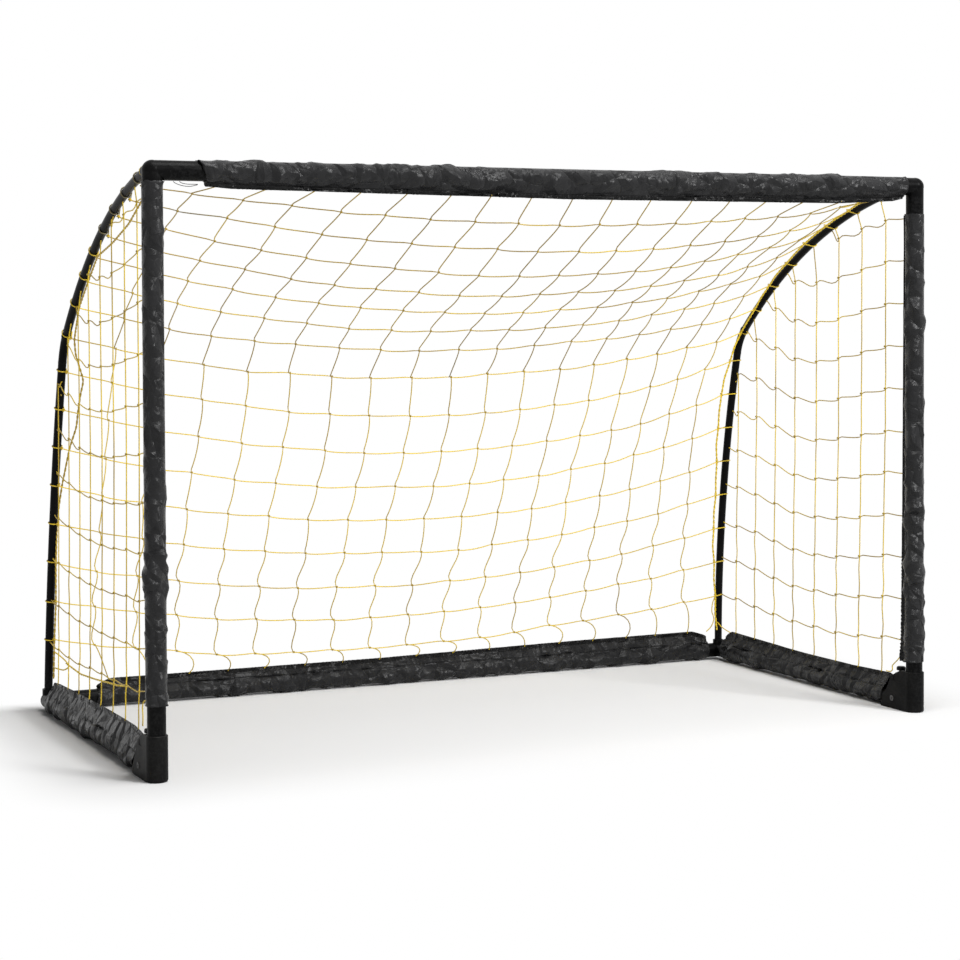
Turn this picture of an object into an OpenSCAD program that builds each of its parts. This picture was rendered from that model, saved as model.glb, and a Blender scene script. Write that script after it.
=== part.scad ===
// Portable football training goal: steel front frame, folding U-shaped base, two lift-off rear
// poles, knotted net and fabric sleeves.
// X points to the right seen from the front, Y to the back, Z up. The origin lies on the floor
// at the centre of the outline, and all sizes are in millimetres.

/* [Goal] */
// Width over the two posts
goal_w = 1829; // [1500:1:2200]
// Height to the top of the crossbar tube
goal_h = 1219; // [1100:1:1350]
// Depth over the sleeves of posts and back bar
goal_d = 928; // [850:1:1050]

/* [Front frame] */
// Outside diameter of crossbar, elbows and upper posts
tube_od = 40; // [38:0.5:42]
// Wall of the frame tubes
tube_wall = 1.2; // [1:0.1:1.6]
// Radial clearance where one tube slides into another
tube_fit = 0.05; // [0.03:0.01:0.1]
// Length that one tube reaches into the next
tube_lap = 60; // [40:1:80]
// Reach of an elbow along the crossbar, from the post axis
elbow_arm = 31; // [28:1:45]
// Reach of an elbow down the post, from the crossbar axis
elbow_drop = 23; // [22:1:40]
// Height at which an upper post slides over its lower post
post_joint_z = 610; // [400:1:800]

/* [Feet] */
// Height of a foot
foot_h = 92; // [90:1:100]
// Wall of the post socket
socket_wall = 3.25; // [3:0.25:4.5]
// Floor under the post in its socket
socket_floor = 6; // [4:0.5:10]
// Reach of the side plates behind the post axis
foot_reach = 105; // [102:1:120]
// Distance of the hinge pin behind the post axis
pivot_back = 57; // [54:1:62]
// Diameter of the hinge rivet
pin_d = 8; // [6:0.5:9]
// Radial clearance of pins and plungers
pin_fit = 0.05; // [0.03:0.01:0.1]
// Diameter of the rivet heads
rivet_head_d = 13; // [11:0.5:16]
// Play on each side of a bar between the side plates
side_play = 1; // [0.8:0.1:1.5]
// Diameter of the release button's cap
button_d = 21; // [16:0.5:22]
// Diameter of the button's stem
stem_d = 10; // [7:0.5:11]
// Travel of the release button
button_travel = 5; // [3:0.5:5.5]

/* [Base] */
// Outside diameter of the base bars
bar_od = 36; // [34:0.5:36.5]
// Length of a hinge knuckle, from the pin to the bar
knuckle_l = 90; // [88:1:110]
// Width of the slot in a knuckle
knuckle_slot = 24; // [23:0.5:26]
// Reach of a rear corner along the back bar
corner_arm_x = 60; // [35:1:80]
// Reach of a rear corner along the side bar
corner_arm_y = 40; // [35:1:60]
// Diameter of the collar that carries a rear pole
collar_d = 28; // [27:0.5:32]
// Height of the collar above the bar axis
collar_h = 27; // [24:1:36]
// Depth of the cup in the collar
cup_depth = 4; // [2:0.5:4]
// Radial clearance of the pole in the cup
cup_fit = 1.4; // [1:0.1:1.6]

/* [Rear poles] */
// Outside diameter of the poles
pole_od = 19; // [16:0.5:20]
// Wall of the poles
pole_wall = 1.2; // [1:0.1:1.6]
// Reach of the saddle behind the crossbar axis
saddle_l = 40; // [36:1:50]
// Diameter of the saddle
saddle_d = 27; // [26:0.5:32]
// Radial clearance of the pole in its saddle
saddle_fit = 0.6; // [0.55:0.05:0.8]
// Slope of the upper pole where it leaves the saddle
slope_top = 8; // [4:0.5:12]
// Height of the joint between upper and lower pole
pole_joint_z = 870; // [800:1:920]
// Radius of the bend under that joint
pole_bend_r = 130; // [90:1:160]
// Lean of the lower pole under the bend
lean_top = 15.5; // [12:0.5:18]
// Lean of the lower pole at its foot
lean_foot = 2; // [1:0.5:4]
// Diameter of the rolled rim at the joint
rim_d = 21.4; // [20.5:0.1:23]
// Radial clearance of the upper pole's spigot in the lower pole
pole_fit = 0.2; // [0.1:0.05:0.3]
// Turn of the poles towards the middle of the goal, from the pull of the net
pole_bow = 1.7; // [0:0.1:2]

/* [Net] */
// Side of one mesh
mesh = 97; // [90:1:120]
// Thickness of the net cord
strand = 3; // [2:0.5:3.5]
// Deepest drop of the net between the poles
net_sag = 122; // [60:1:140]
// Distance of the net's edge from the pole axis
net_edge = 13; // [12.5:0.5:16]

/* [Sleeves] */
// Radius of the base sleeves, which carry the bars above the floor
base_sleeve_r = 24; // [22:0.5:26]
// Radius of the sleeves on the front frame
front_sleeve_r = 23.5; // [22.5:0.5:25]
// Clearance between a sleeve and its tube
sleeve_gap = 0.3; // [0.2:0.05:0.5]
// Spacing of the puckers
pucker_pitch = 42; // [30:1:60]
// Depth of the puckers
pucker_depth = 1.4; // [0.5:0.1:2]
// Thickness of the stitched flaps
flap_t = 3; // [2:0.5:4]
// Flap of the side sleeves above the bar axis
side_flap = 55; // [40:1:60]
// Flap of the back sleeve above the bar axis
back_flap = 48; // [35:1:55]
// Flap of the crossbar sleeve below the crossbar axis
bar_flap = 33; // [30:1:40]
// Droop of that flap in the middle
bar_droop = 9; // [0:1:12]
// Bare crossbar beside the left elbow
bar_sleeve_gap_l = 60; // [10:1:100]
// Bare crossbar beside the right elbow
bar_sleeve_gap_r = 2; // [1:1:60]
// Height of the left post sleeve's lower end
post_sleeve_z_l = 150; // [110:1:200]
// Height of the right post sleeve's lower end
post_sleeve_z_r = 115; // [110:1:200]
// Bare post below the right elbow
post_sleeve_gap_r = 39; // [1:1:80]
// Bare bar between a side sleeve and the rear corner's axis
side_sleeve_end = 40; // [36:1:70]
// Bare bar at the left end of the back sleeve, from the corner's axis
back_sleeve_end_l = 107; // [62:1:140]
// Bare bar at the right end of the back sleeve, from the corner's axis
back_sleeve_end_r = 38; // [36:1:140]

/* [Hidden] */
$fn = 48;

steel = [0.09, 0.09, 0.10];
moulding = [0.12, 0.12, 0.13];
cloth = [0.16, 0.16, 0.17];
yarn = [0.85, 0.68, 0.12];

tube_id = tube_od - 2 * tube_wall;
lower_od = tube_id - 2 * tube_fit;
bar_id = bar_od - 2 * tube_wall;
pole_id = pole_od - 2 * pole_wall;
foot_r = lower_od / 2 + tube_fit + socket_wall;
plate_x = foot_r - 0.2;
plate_in = bar_od / 2 + side_play;

post_x = goal_w / 2 - tube_od / 2;
bar_z = goal_h - tube_od / 2;
front_y = -goal_d / 2 + max(foot_r, front_sleeve_r);
rear_y = goal_d / 2 - base_sleeve_r;
base_z = base_sleeve_r;
pivot_y = front_y + pivot_back;
crossbar_end = post_x - elbow_arm;
back_bar_end = post_x - corner_arm_x;
bar_start_y = pivot_y + knuckle_l;
bar_end_y = rear_y - corner_arm_y;

// ---- shared shapes ----

module mirrored(s) {
    scale_x = s < 0 ? 1 : 0;
    mirror([scale_x, 0, 0]) children();
}

// Cylinders along an axis, from a start point
module rod_x(l, d) { rotate([0, 90, 0]) cylinder(h = l, d = d); }
module rod_y(l, d) { rotate([-90, 0, 0]) cylinder(h = l, d = d); }
module tube(l, d, inner) {
    difference() {
        cylinder(h = l, d = d);
        translate([0, 0, -1]) cylinder(h = l + 2, d = inner);
    }
}
module tube_x(l, d, inner) { rotate([0, 90, 0]) tube(l, d, inner); }
module tube_y(l, d, inner) { rotate([-90, 0, 0]) tube(l, d, inner); }

// Points of an outline with every corner rounded to radius r
function unit(v) = v / norm(v);
function corner(a, b, c, r, n = 4) = let (
    u = unit(a - b), w = unit(c - b),
    half = acos(u * w) / 2,
    t = min(r / tan(half), norm(a - b) / 2.1, norm(c - b) / 2.1),
    m = b + unit(u + w) * t / cos(half),
    p = b + u * t - m, q = b + w * t - m)
    [for (k = [0:n]) m + unit(p * (n - k) / n + q * k / n) * norm(p)];
function rounded(p, r) = let (n = len(p))
    [for (i = [0:n - 1]) each corner(p[(i + n - 1) % n], p[i], p[(i + 1) % n], r)];

// ---- front frame ----

// Hollow ball corner whose arms end in spigots that the tubes slide over
module corner_ball(od, id, arm_a, arm_b) {
    ball = od + 0.8;
    spigot = id - 2 * tube_fit;
    bore = spigot - 2 * tube_wall;
    difference() {
        union() {
            sphere(d = ball);
            translate([-arm_a, 0, 0]) rod_x(arm_a, od);
            translate([0, 0, -arm_b]) cylinder(h = arm_b, d = od);
            translate([-arm_a - tube_lap, 0, 0]) rod_x(tube_lap + 1, spigot);
            translate([0, 0, -arm_b - tube_lap]) cylinder(h = tube_lap + 1, d = spigot);
        }
        translate([-arm_a - tube_lap - 1, 0, 0]) rod_x(arm_a + tube_lap + 1, bore);
        translate([0, 0, -arm_b - tube_lap - 1]) cylinder(h = arm_b + tube_lap + 1, d = bore);
    }
}

saddle_start = tube_od / 2 + 1.5;
module elbow(s) {
    slot = pole_od + 2 * saddle_fit;
    color(steel) mirrored(s) translate([post_x, front_y, bar_z]) {
        corner_ball(tube_od, tube_id, elbow_arm, elbow_drop);
        // open-topped saddle that the rear pole drops into
        difference() {
            translate([0, tube_od / 2 - 4, 0]) rod_y(saddle_l - tube_od / 2 + 4, saddle_d);
            intersection() {
                translate([0, saddle_start, top_rise]) rotate([-slope_top, 0, 0])
                    translate([0, -saddle_d / 2, 0]) {
                        rod_y(2 * saddle_l, slot);
                        translate([-slot / 2, 0, 0]) cube([slot, 2 * saddle_l, saddle_d]);
                    }
                translate([-saddle_d, saddle_start, -saddle_d])
                    cube([2 * saddle_d, 2 * saddle_l, 3 * saddle_d]);
            }
        }
    }
}

module crossbar(s) {
    color(steel) mirrored(s) translate([0, front_y, bar_z]) tube_x(crossbar_end, tube_od, tube_id);
}

module coupler(y, z, inner) {
    d = inner - 2 * tube_fit;
    translate([-tube_lap, y, z]) tube_x(2 * tube_lap, d, d - 2 * tube_wall);
}

module upper_post(s) {
    color(steel) mirrored(s) translate([post_x, front_y, post_joint_z])
        tube(bar_z - elbow_drop - post_joint_z, tube_od, tube_id);
}

module lower_post(s) {
    color(steel) mirrored(s) translate([post_x, front_y, socket_floor])
        tube(post_joint_z + tube_lap - socket_floor, lower_od, lower_od - 2 * tube_wall);
}

// ---- feet ----

module foot_socket() {
    bore = lower_od / 2 + tube_fit;
    edge = 5;
    rotate_extrude() polygon(concat(
        [[0, 0]],
        [for (a = [-90:22.5:0]) [foot_r - edge + edge * cos(a), edge + edge * sin(a)]],
        [[foot_r, foot_h - 1], [foot_r - 1, foot_h], [bore + 0.8, foot_h], [bore, foot_h - 0.8],
            [bore, socket_floor], [0, socket_floor]]));
}

plate_outline = [[2, 0], [foot_reach, 0], [foot_reach - 11, base_z - 2],
    [pivot_back + 16, base_z + 28], [pivot_back + 4, base_z + 51],
    [pivot_back - 14, base_z + 60], [pivot_back - 32, foot_h], [2, foot_h]];
module plate(t, points) {
    rotate([90, 0, 90]) linear_extrude(t) polygon(points);
}

rib_w = button_d - 2;
rib_z0 = base_z + 40;
rib_z1 = base_z + 58;
button_y = pivot_back - 6;
module foot(s) {
    bore = lower_od / 2 + tube_fit;
    wall = plate_x - plate_in;
    color(moulding) mirrored(s) translate([post_x, front_y, 0]) difference() {
        union() {
            foot_socket();
            difference() {
                union() {
                    // side plates with a shallow pocket in each outer face
                    for (x = [-plate_x, plate_in]) translate([x, 0, 0])
                        plate(wall, rounded(plate_outline, 5));
                    translate([-plate_in - 1, 2, 0]) cube([2 * plate_in + 2, foot_reach - 8, 4]);
                    // rib that carries the release button
                    translate([-rib_w / 2, foot_r - 3, rib_z0])
                        cube([rib_w, button_y + 9 - foot_r + 3, rib_z1 - rib_z0]);
                    translate([-plate_in - 1, foot_r - 3, foot_h - 12])
                        cube([2 * plate_in + 2, 4.5, 12]);
                }
                translate([0, 0, socket_floor]) cylinder(h = foot_h, r = bore + 0.5);
            }
        }
        for (m = [-1, 1]) translate([m > 0 ? plate_x - 0.8 : -plate_x - 1, 0, 0])
            plate(1.8, rounded([[foot_r + 4, base_z + 42], [pivot_back - 4, base_z + 42],
                [pivot_back - 8, base_z + 53], [foot_r + 4, base_z + 58]], 4));
        translate([-foot_r - 1, pivot_back, base_z]) rod_x(2 * foot_r + 2, pin_d + 2 * pin_fit);
        translate([0, button_y, rib_z0 - 1])
            cylinder(h = rib_z1 - rib_z0 + 2, d = stem_d + 2 * pin_fit);
    }
}

// Hollow-ended rivet through both plates and the knuckle
module hinge_rivet(s) {
    head = 1.2;
    color("gray") mirrored(s) translate([post_x, pivot_y, base_z]) difference() {
        union() {
            translate([-plate_x, 0, 0]) rod_x(2 * plate_x, pin_d);
            for (x = [-plate_x - head, plate_x]) translate([x, 0, 0]) rod_x(head, rivet_head_d);
        }
        for (x = [-plate_x - head - 1, plate_x + head - 3]) translate([x, 0, 0])
            rod_x(4, pin_d * 0.6);
    }
}

// Mushroom cap on a stem, kept in the rib by a flange below
cap_z = rib_z1 + button_travel + 1;
cap_h = 9;
module release_button(s) {
    r = button_d / 2;
    color("black") mirrored(s) translate([post_x, front_y + button_y, 0])
        rotate_extrude() polygon(concat(
            [[0, rib_z0 - 3], [stem_d / 2 + 1.5, rib_z0 - 3], [stem_d / 2 + 1.5, rib_z0],
                [stem_d / 2, rib_z0], [stem_d / 2, cap_z], [r - 1, cap_z], [r, cap_z + 1],
                [r, cap_z + cap_h - 4]],
            [for (a = [20:17.5:90]) [r - 4 + 4 * cos(a), cap_z + cap_h - 4 + 4 * sin(a)]],
            [[0, cap_z + cap_h]]));
}

// ---- folding base ----

// Slotted tube end that turns on the rivet and straddles the button's rib when folded
module knuckle(s) {
    spigot = bar_id - 2 * tube_fit;
    nose = 14;
    color(moulding) mirrored(s) translate([post_x, pivot_y, base_z]) difference() {
        union() {
            intersection() {
                translate([0, -nose - 1, 0]) rod_y(knuckle_l + nose + 1, bar_od);
                union() {
                    translate([-bar_od, 0, 0]) rod_x(2 * bar_od, 2 * nose);
                    translate([-bar_od, 0, -nose]) cube([2 * bar_od, 60, 2 * nose]);
                    translate([-bar_od, 45, -bar_od]) cube([2 * bar_od, knuckle_l, 2 * bar_od]);
                }
            }
            translate([0, knuckle_l - 1, 0]) rod_y(tube_lap * 0.7, spigot);
        }
        translate([-knuckle_slot / 2, -bar_od, -bar_od])
            cube([knuckle_slot, bar_od + knuckle_l - 13, 2 * bar_od]);
        translate([-bar_od, 0, 0]) rod_x(2 * bar_od, pin_d + 2 * pin_fit);
    }
}

module side_bar(s) {
    color(steel) mirrored(s) translate([post_x, bar_start_y, base_z])
        tube_y(bar_end_y - bar_start_y, bar_od, bar_id);
}

// Ball corner lying in the base, with a cup for the rear pole on top
module rear_corner(s) {
    cup_r = pole_od / 2 + cup_fit;
    color(steel) mirrored(s) translate([post_x, rear_y, base_z]) difference() {
        union() {
            rotate([-90, 0, 0]) corner_ball(bar_od, bar_id, corner_arm_x, corner_arm_y);
            cylinder(h = collar_h, d = collar_d);
        }
        translate([0, 0, collar_h - cup_depth]) cylinder(h = cup_depth + 1, r = cup_r);
    }
}

module back_bar(s) {
    color(steel) mirrored(s) translate([0, rear_y, base_z]) tube_x(back_bar_end, bar_od, bar_id);
}

// ---- rear poles ----

// The pole runs in the plane of its post through three arcs. Headings are measured from the
// horizontal, downwards to the back, and a point is [y, z].
function on_arc(p, h0, r, h) = p + r * [sin(h) - sin(h0), cos(h) - cos(h0)];
function arc_centre(p, h0, r) = p - r * [sin(h0), cos(h0)];

top_rise = 4;
pole_top = [front_y + saddle_start + 1.8, bar_z + top_rise - 0.2];
pole_foot = [rear_y, base_z + collar_h - cup_depth + 0.4];
function end_slope(y) = 2 * atan2(pole_top[1] - pole_joint_z, y - pole_top[0]) - slope_top;
function joint_y(n, y) = n == 0 ? y : let (
    slope = end_slope(y),
    bend_z = pole_joint_z + pole_bend_r * (sin(lean_top) - cos(slope)),
    next = pole_foot[0] - (bend_z - pole_foot[1]) * tan((lean_top + lean_foot) / 2)
        - pole_bend_r * (cos(lean_top) - sin(slope)))
    joint_y(n - 1, next);
joint = [joint_y(12, rear_y - 150), pole_joint_z];
slope_joint = end_slope(joint[0]);
upper_r = norm(joint - pole_top) / 2 / sin((slope_joint - slope_top) / 2);
bend_end = on_arc(joint, slope_joint, pole_bend_r, 90 - lean_top);
lower_r = norm(pole_foot - bend_end) / 2 / sin((lean_top - lean_foot) / 2);

module pole_arc(p, h0, h1, r, d, inner, fn) {
    c = arc_centre(p, h0, r);
    translate([0, c[0], c[1]]) rotate([0, -90, 0]) rotate([0, 0, h0])
        rotate_extrude(angle = h1 - h0, $fn = fn) translate([r, 0]) difference() {
            circle(d = d, $fn = 32);
            if (inner > 0) circle(d = inner, $fn = 32);
        }
}

// Turn about the line from a pole's top to its foot
pole_chord = pole_foot - pole_top;
module bowed() {
    translate([0, pole_top[0], pole_top[1]])
        rotate(a = -pole_bow, v = [0, pole_chord[0], pole_chord[1]])
            translate([0, -pole_top[0], -pole_top[1]]) children();
}

spigot_turn = 12;
module upper_pole(s) {
    core = pole_id - 2 * pole_fit;
    lap = 1.2;
    color(steel) mirrored(s) translate([post_x, 0, 0]) bowed() {
        pole_arc(pole_top, slope_top, slope_joint, upper_r, pole_od, pole_id, 360);
        // reduced end that slips into the lower pole
        back = on_arc(pole_top, slope_top, upper_r, slope_joint - lap);
        pole_arc(back, slope_joint - lap, slope_joint, upper_r, pole_id + 0.4, 0, 360);
        pole_arc(joint, slope_joint - 0.3, slope_joint + spigot_turn, pole_bend_r, core, 0, 180);
    }
}

module lower_pole(s) {
    rim = 2;
    weld = 2.5;
    color(steel) mirrored(s) translate([post_x, 0, 0]) bowed() {
        pole_arc(joint, slope_joint, 89.6 - lean_top, pole_bend_r, pole_od, pole_id, 180);
        pole_arc(joint, slope_joint, slope_joint + rim, pole_bend_r, rim_d, pole_id, 180);
        pole_arc(bend_end, 90 - lean_top, 90 - lean_foot, lower_r, pole_od, pole_id, 720);
        // weld between the bend and the long lower arc
        translate([0, bend_end[0], bend_end[1]]) rotate([lean_top - 90, 0, 0])
            translate([0, -weld, 0]) rod_y(2 * weld, pole_od + 0.6);
    }
}

// ---- sleeves ----

// Tube of cloth whose outside swells and draws in along its length
module puckered(l, r_in, r_out) {
    n = max(2, round(l / pucker_pitch));
    rotate_extrude() polygon(concat(
        [[r_in, l], [r_in, 0]],
        [for (k = [0:2 * n]) [r_out - (k % 2 == 0 ? pucker_depth : 0), l * k / 2 / n]]));
}

// Edge of a flap, wavy between two points and hanging lower in the middle
function wavy(a, b, n, droop = 0) = [for (k = [0:n]) a + (b - a) * k / n
    + [0, (k % 2 == 0 ? 0 : -1.5) - droop * 4 * k / n * (1 - k / n)]];

seam_drop = bar_flap - 4;
fold_turn = acos((front_sleeve_r - pucker_depth) / seam_drop);
fold_y = (front_sleeve_r - pucker_depth) * sin(fold_turn);
fold_z = (front_sleeve_r - pucker_depth) * cos(fold_turn);
module crossbar_sleeve() {
    x0 = -crossbar_end + bar_sleeve_gap_l;
    x1 = crossbar_end - bar_sleeve_gap_r;
    r_in = tube_od / 2 + sleeve_gap;
    color(cloth) difference() {
        union() {
            translate([x0, front_y, bar_z]) rotate([0, 90, 0])
                puckered(x1 - x0, r_in, front_sleeve_r);
            translate([0, front_y + flap_t / 2, bar_z]) rotate([90, 0, 0]) linear_extrude(flap_t)
                polygon(concat(wavy([x0, -bar_flap], [x1 - 30, -bar_flap], 24, bar_droop),
                    [[x1, 2 - r_in], [x1, -r_in + 1], [x0, -r_in + 1]]));
            // cloth drawn together from both sides of the tube to the seam
            translate([x0, front_y, bar_z]) rotate([90, 0, 90]) linear_extrude(x1 - x0 - 30)
                polygon([[-fold_y, -fold_z], [-flap_t / 2, -seam_drop], [flap_t / 2, -seam_drop],
                    [fold_y, -fold_z]]);
        }
        translate([x0 - 1, front_y, bar_z]) rod_x(x1 - x0 + 2, 2 * r_in);
    }
}

module post_sleeve(s, z0, z1) {
    color(cloth) mirrored(s) translate([post_x, front_y, z0])
        puckered(z1 - z0, tube_od / 2 + sleeve_gap, front_sleeve_r);
}

side_sleeve_y = front_y + foot_reach + 7;
side_flap_y = side_sleeve_y - 25;
module side_sleeve(s) {
    y0 = side_sleeve_y;
    y1 = rear_y - side_sleeve_end;
    r_in = bar_od / 2 + sleeve_gap;
    color(cloth) mirrored(s) translate([post_x, 0, base_z]) difference() {
        union() {
            translate([0, y0, 0]) rotate([-90, 0, 0]) puckered(y1 - y0, r_in, base_sleeve_r);
            translate([-flap_t / 2, 0, 0]) plate(flap_t, concat([[y0, r_in - 1]],
                wavy([side_flap_y, side_flap], [y1 - 12, side_flap - 5], 12), [[y1, r_in - 1]]));
        }
        translate([0, y0 - 30, 0]) rod_y(y1 - y0 + 32, 2 * r_in);
    }
}

module back_sleeve() {
    x0 = -post_x + back_sleeve_end_l;
    x1 = post_x - back_sleeve_end_r;
    r_in = bar_od / 2 + sleeve_gap;
    color(cloth) translate([0, rear_y, base_z]) difference() {
        union() {
            translate([x0, 0, 0]) rotate([0, 90, 0]) puckered(x1 - x0, r_in, base_sleeve_r);
            translate([0, flap_t / 2, 0]) rotate([90, 0, 0]) linear_extrude(flap_t)
                polygon(concat([[x0, r_in - 1]], wavy([x0 + 8, back_flap], [x1 - 8, back_flap], 24),
                    [[x1, r_in - 1]]));
        }
        translate([x0 - 1, 0, 0]) rod_x(x1 - x0 + 2, 2 * r_in);
    }
}

// ---- net ----

// Heading and point of the pole's axis at a length s from its top
deg = 180 / PI;
upper_l = upper_r * (slope_joint - slope_top) / deg;
bend_l = pole_bend_r * (90 - lean_top - slope_joint) / deg;
function pole_heading(s) = s < upper_l ? slope_top + s / upper_r * deg
    : s < upper_l + bend_l ? slope_joint + (s - upper_l) / pole_bend_r * deg
    : 90 - lean_top + (s - upper_l - bend_l) / lower_r * deg;
function pole_point(s) = let (h = pole_heading(s))
    s < upper_l ? on_arc(pole_top, slope_top, upper_r, h)
    : s < upper_l + bend_l ? on_arc(joint, slope_joint, pole_bend_r, h)
    : on_arc(bend_end, 90 - lean_top, lower_r, h);
function beside_pole(s, gap) = let (h = pole_heading(s)) pole_point(s) - gap * [sin(h), cos(h)];

// Length along the pole at which its axis comes down to a height z
function length_at(z) = let (h = acos((z - bend_end[1]) / lower_r + sin(lean_top)))
    upper_l + bend_l + (h - 90 + lean_top) / deg * lower_r;

// Side panel: a grid cut to the outline between post, pole and base flap
side_z0 = base_z + side_flap + sleeve_gap;
side_y0 = front_y + front_sleeve_r + sleeve_gap + 0.2;
function side_outline(inset) = let (
    gap = pole_od / 2 + sleeve_gap + inset,
    s0 = saddle_l - 10,
    s1 = length_at(side_z0 + inset),
    over_button = cap_z + cap_h + 3 + inset)
    concat([[side_flap_y + inset / 2, side_z0 + inset],
        [front_y + button_y + button_d / 2 + 5 + inset / 2, over_button],
        [side_y0 + inset, over_button],
        [side_y0 + inset, bar_z - saddle_d / 2 - 6 - inset]],
        [for (k = [0:24]) beside_pole(s0 + (s1 - s0) * k / 24, gap)]);

module side_net(s) {
    cols = floor((rear_y - side_y0) / mesh);
    rows = floor((bar_z - side_z0) / mesh);
    color(yarn) mirrored(s) translate([post_x - strand / 2, 0, 0]) rotate([90, 0, 90])
        linear_extrude(strand) {
            difference() {
                polygon(side_outline(0));
                polygon(side_outline(strand + 1));
            }
            intersection() {
                polygon(side_outline(1));
                union() {
                    for (k = [1:cols]) translate([side_y0 + k * mesh, 0])
                        square([strand, goal_h]);
                    for (k = [1:rows]) translate([front_y, side_z0 + k * mesh])
                        square([goal_d, strand]);
                }
            }
        }
}

// Roof and back panel: one surface that hangs from crossbar and poles to the back sleeve.
// t runs from 0 at the crossbar over 1 at the pole joints to 2 at the back sleeve.
net_half = post_x - strand - sleeve_gap;
net_len = length_at(base_z + back_flap - 2);
cols_x = round(2 * net_half / mesh);
roof_rows = round(upper_l / mesh);
back_rows = ceil((net_len - upper_l) / mesh);
// Drop below and pull in front of the straight line between the poles, as shares of net_sag
sag_down = [0.29, 0.52, 0.77, 0.95, 1, 0.93, 0.86, 0.75, 0.78, 0.95, 0.96, 0.92, 0.84, 0.79,
    0.72, 0.65, 0.57, 0];
sag_front = [0.17, 0.25, 0.38, 0.48, 0.52, 0.51, 0.48, 0.43, 0.46, 0.59, 0.65, 0.68, 0.66, 0.6,
    0.46, 0.26, 0.05, 0];
roof_shares = 8;
back_shares = 9;
function share(list, t) = let (
    n = t < 1 ? t * roof_shares : roof_shares + (t - 1) * back_shares,
    k = max(0, min(roof_shares + back_shares - 1, floor(n))))
    list[k] + (list[k + 1] - list[k]) * (n - k);
function ease(t) = let (u = max(0, min(1, t))) u * u * (3 - 2 * u);
function bow_at(p) = abs(cross(unit(pole_chord), p - pole_top)) * sin(pole_bow);
function net_point(x, t) = let (
    mid = 1 - pow(x / net_half, 2),
    s = t < 1 ? t * upper_l : upper_l + (t - 1) * (net_len - upper_l),
    p = beside_pole(s, net_edge),
    hung = p - net_sag * mid * [share(sag_front, t), share(sag_down, t)],
    tuck = (net_edge - flap_t / 2 - strand / 2 - sleeve_gap) * mid * ease((t - 1.9) / 0.1),
    hem_y = front_y + flap_t / 2 + strand * 0.75 + sleeve_gap
        + (front_sleeve_r + 1) * pow(abs(x) / net_half, 8),
    hem_z = bar_z - bar_flap + 3 - bar_droop * mid,
    w = ease(t * 2 * roof_rows),
    q = [hem_y, hem_z] * (1 - w) + (hung + [tuck, 0]) * w)
    [x * (1 - bow_at(p) / net_half), q[0], q[1]];

// Closed body of square cords: eight corners at each knot, four faces along each cord.
// With open_top the first row of knots only ends the cords that run down from it.
module cord_grid(t0, rows, open_top) {
    nx = cols_x + 1;
    half = strand / 2;
    function at(i, j) = let (
        x = -net_half + 2 * net_half * i / cols_x,
        t = t0 + j / rows,
        p0 = net_point(x, t),
        p = open_top && j == 0
            ? p0 + (strand + 0.8) * unit(net_point(x, t + 1 / rows) - p0) : p0,
        tu = unit(net_point(min(net_half, x + 5), t) - net_point(max(-net_half, x - 5), t)),
        tv = unit(net_point(x, min(2, t + 0.02)) - net_point(x, max(0, t - 0.02))),
        n = unit(cross(tu, tv)))
        [for (k = [0:7]) p + half * ((k % 2 == 0 ? -1 : 1) * tu
            + (floor(k / 2) % 2 == 0 ? -1 : 1) * tv + (k < 4 ? -1 : 1) * n)];
    function id(i, j, k) = (j * nx + i) * 8 + k;
    function along(i, j) = i >= 0 && i < cols_x && !(open_top && j == 0);
    function down(j) = j >= 0 && j < rows;
    // faces between side a of knot (i, j) and the matching side b of its neighbour
    function link(i, j, m, n, a, b) = [for (k = [0:3]) let (l = (k + 1) % 4)
        [id(i, j, a[k]), id(i, j, a[l]), id(m, n, b[l]), id(m, n, b[k])]];
    function cap(i, j, a) = [[for (k = [0:3]) id(i, j, a[k])]];
    points = [for (j = [0:rows], i = [0:cols_x]) each at(i, j)];
    faces = [for (j = [0:rows], i = [0:cols_x]) each concat(
        [[id(i, j, 4), id(i, j, 6), id(i, j, 7), id(i, j, 5)],
            [id(i, j, 0), id(i, j, 1), id(i, j, 3), id(i, j, 2)]],
        along(i, j) ? link(i, j, i + 1, j, [1, 5, 7, 3], [0, 4, 6, 2]) : cap(i, j, [1, 5, 7, 3]),
        down(j) ? link(i, j, i, j + 1, [2, 3, 7, 6], [0, 1, 5, 4]) : cap(i, j, [2, 3, 7, 6]),
        along(i - 1, j) ? [] : cap(i, j, [0, 2, 6, 4]),
        down(j - 1) ? [] : cap(i, j, [0, 4, 5, 1]))];
    color(yarn) polyhedron(points, faces);
}

module roof_net() { cord_grid(0, roof_rows, false); }
module back_net() { cord_grid(1, back_rows, true); }

foot(-1);  // left_foot
foot(1);  // right_foot
hinge_rivet(-1);  // left_hinge_rivet
hinge_rivet(1);  // right_hinge_rivet
lower_post(-1);  // left_lower_post
lower_post(1);  // right_lower_post
upper_post(-1);  // left_upper_post
upper_post(1);  // right_upper_post
elbow(-1);  // left_elbow
elbow(1);  // right_elbow
crossbar(-1);  // left_crossbar
crossbar(1);  // right_crossbar
color(steel) coupler(front_y, bar_z, tube_id);  // crossbar_coupler
release_button(-1);  // left_release_button
release_button(1);  // right_release_button
knuckle(-1);  // left_knuckle
knuckle(1);  // right_knuckle
side_bar(-1);  // left_side_bar
side_bar(1);  // right_side_bar
rear_corner(-1);  // left_rear_corner
rear_corner(1);  // right_rear_corner
back_bar(-1);  // left_back_bar
back_bar(1);  // right_back_bar
color(steel) coupler(rear_y, base_z, bar_id);  // back_bar_coupler
upper_pole(-1);  // left_upper_pole
upper_pole(1);  // right_upper_pole
lower_pole(-1);  // left_lower_pole
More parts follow.
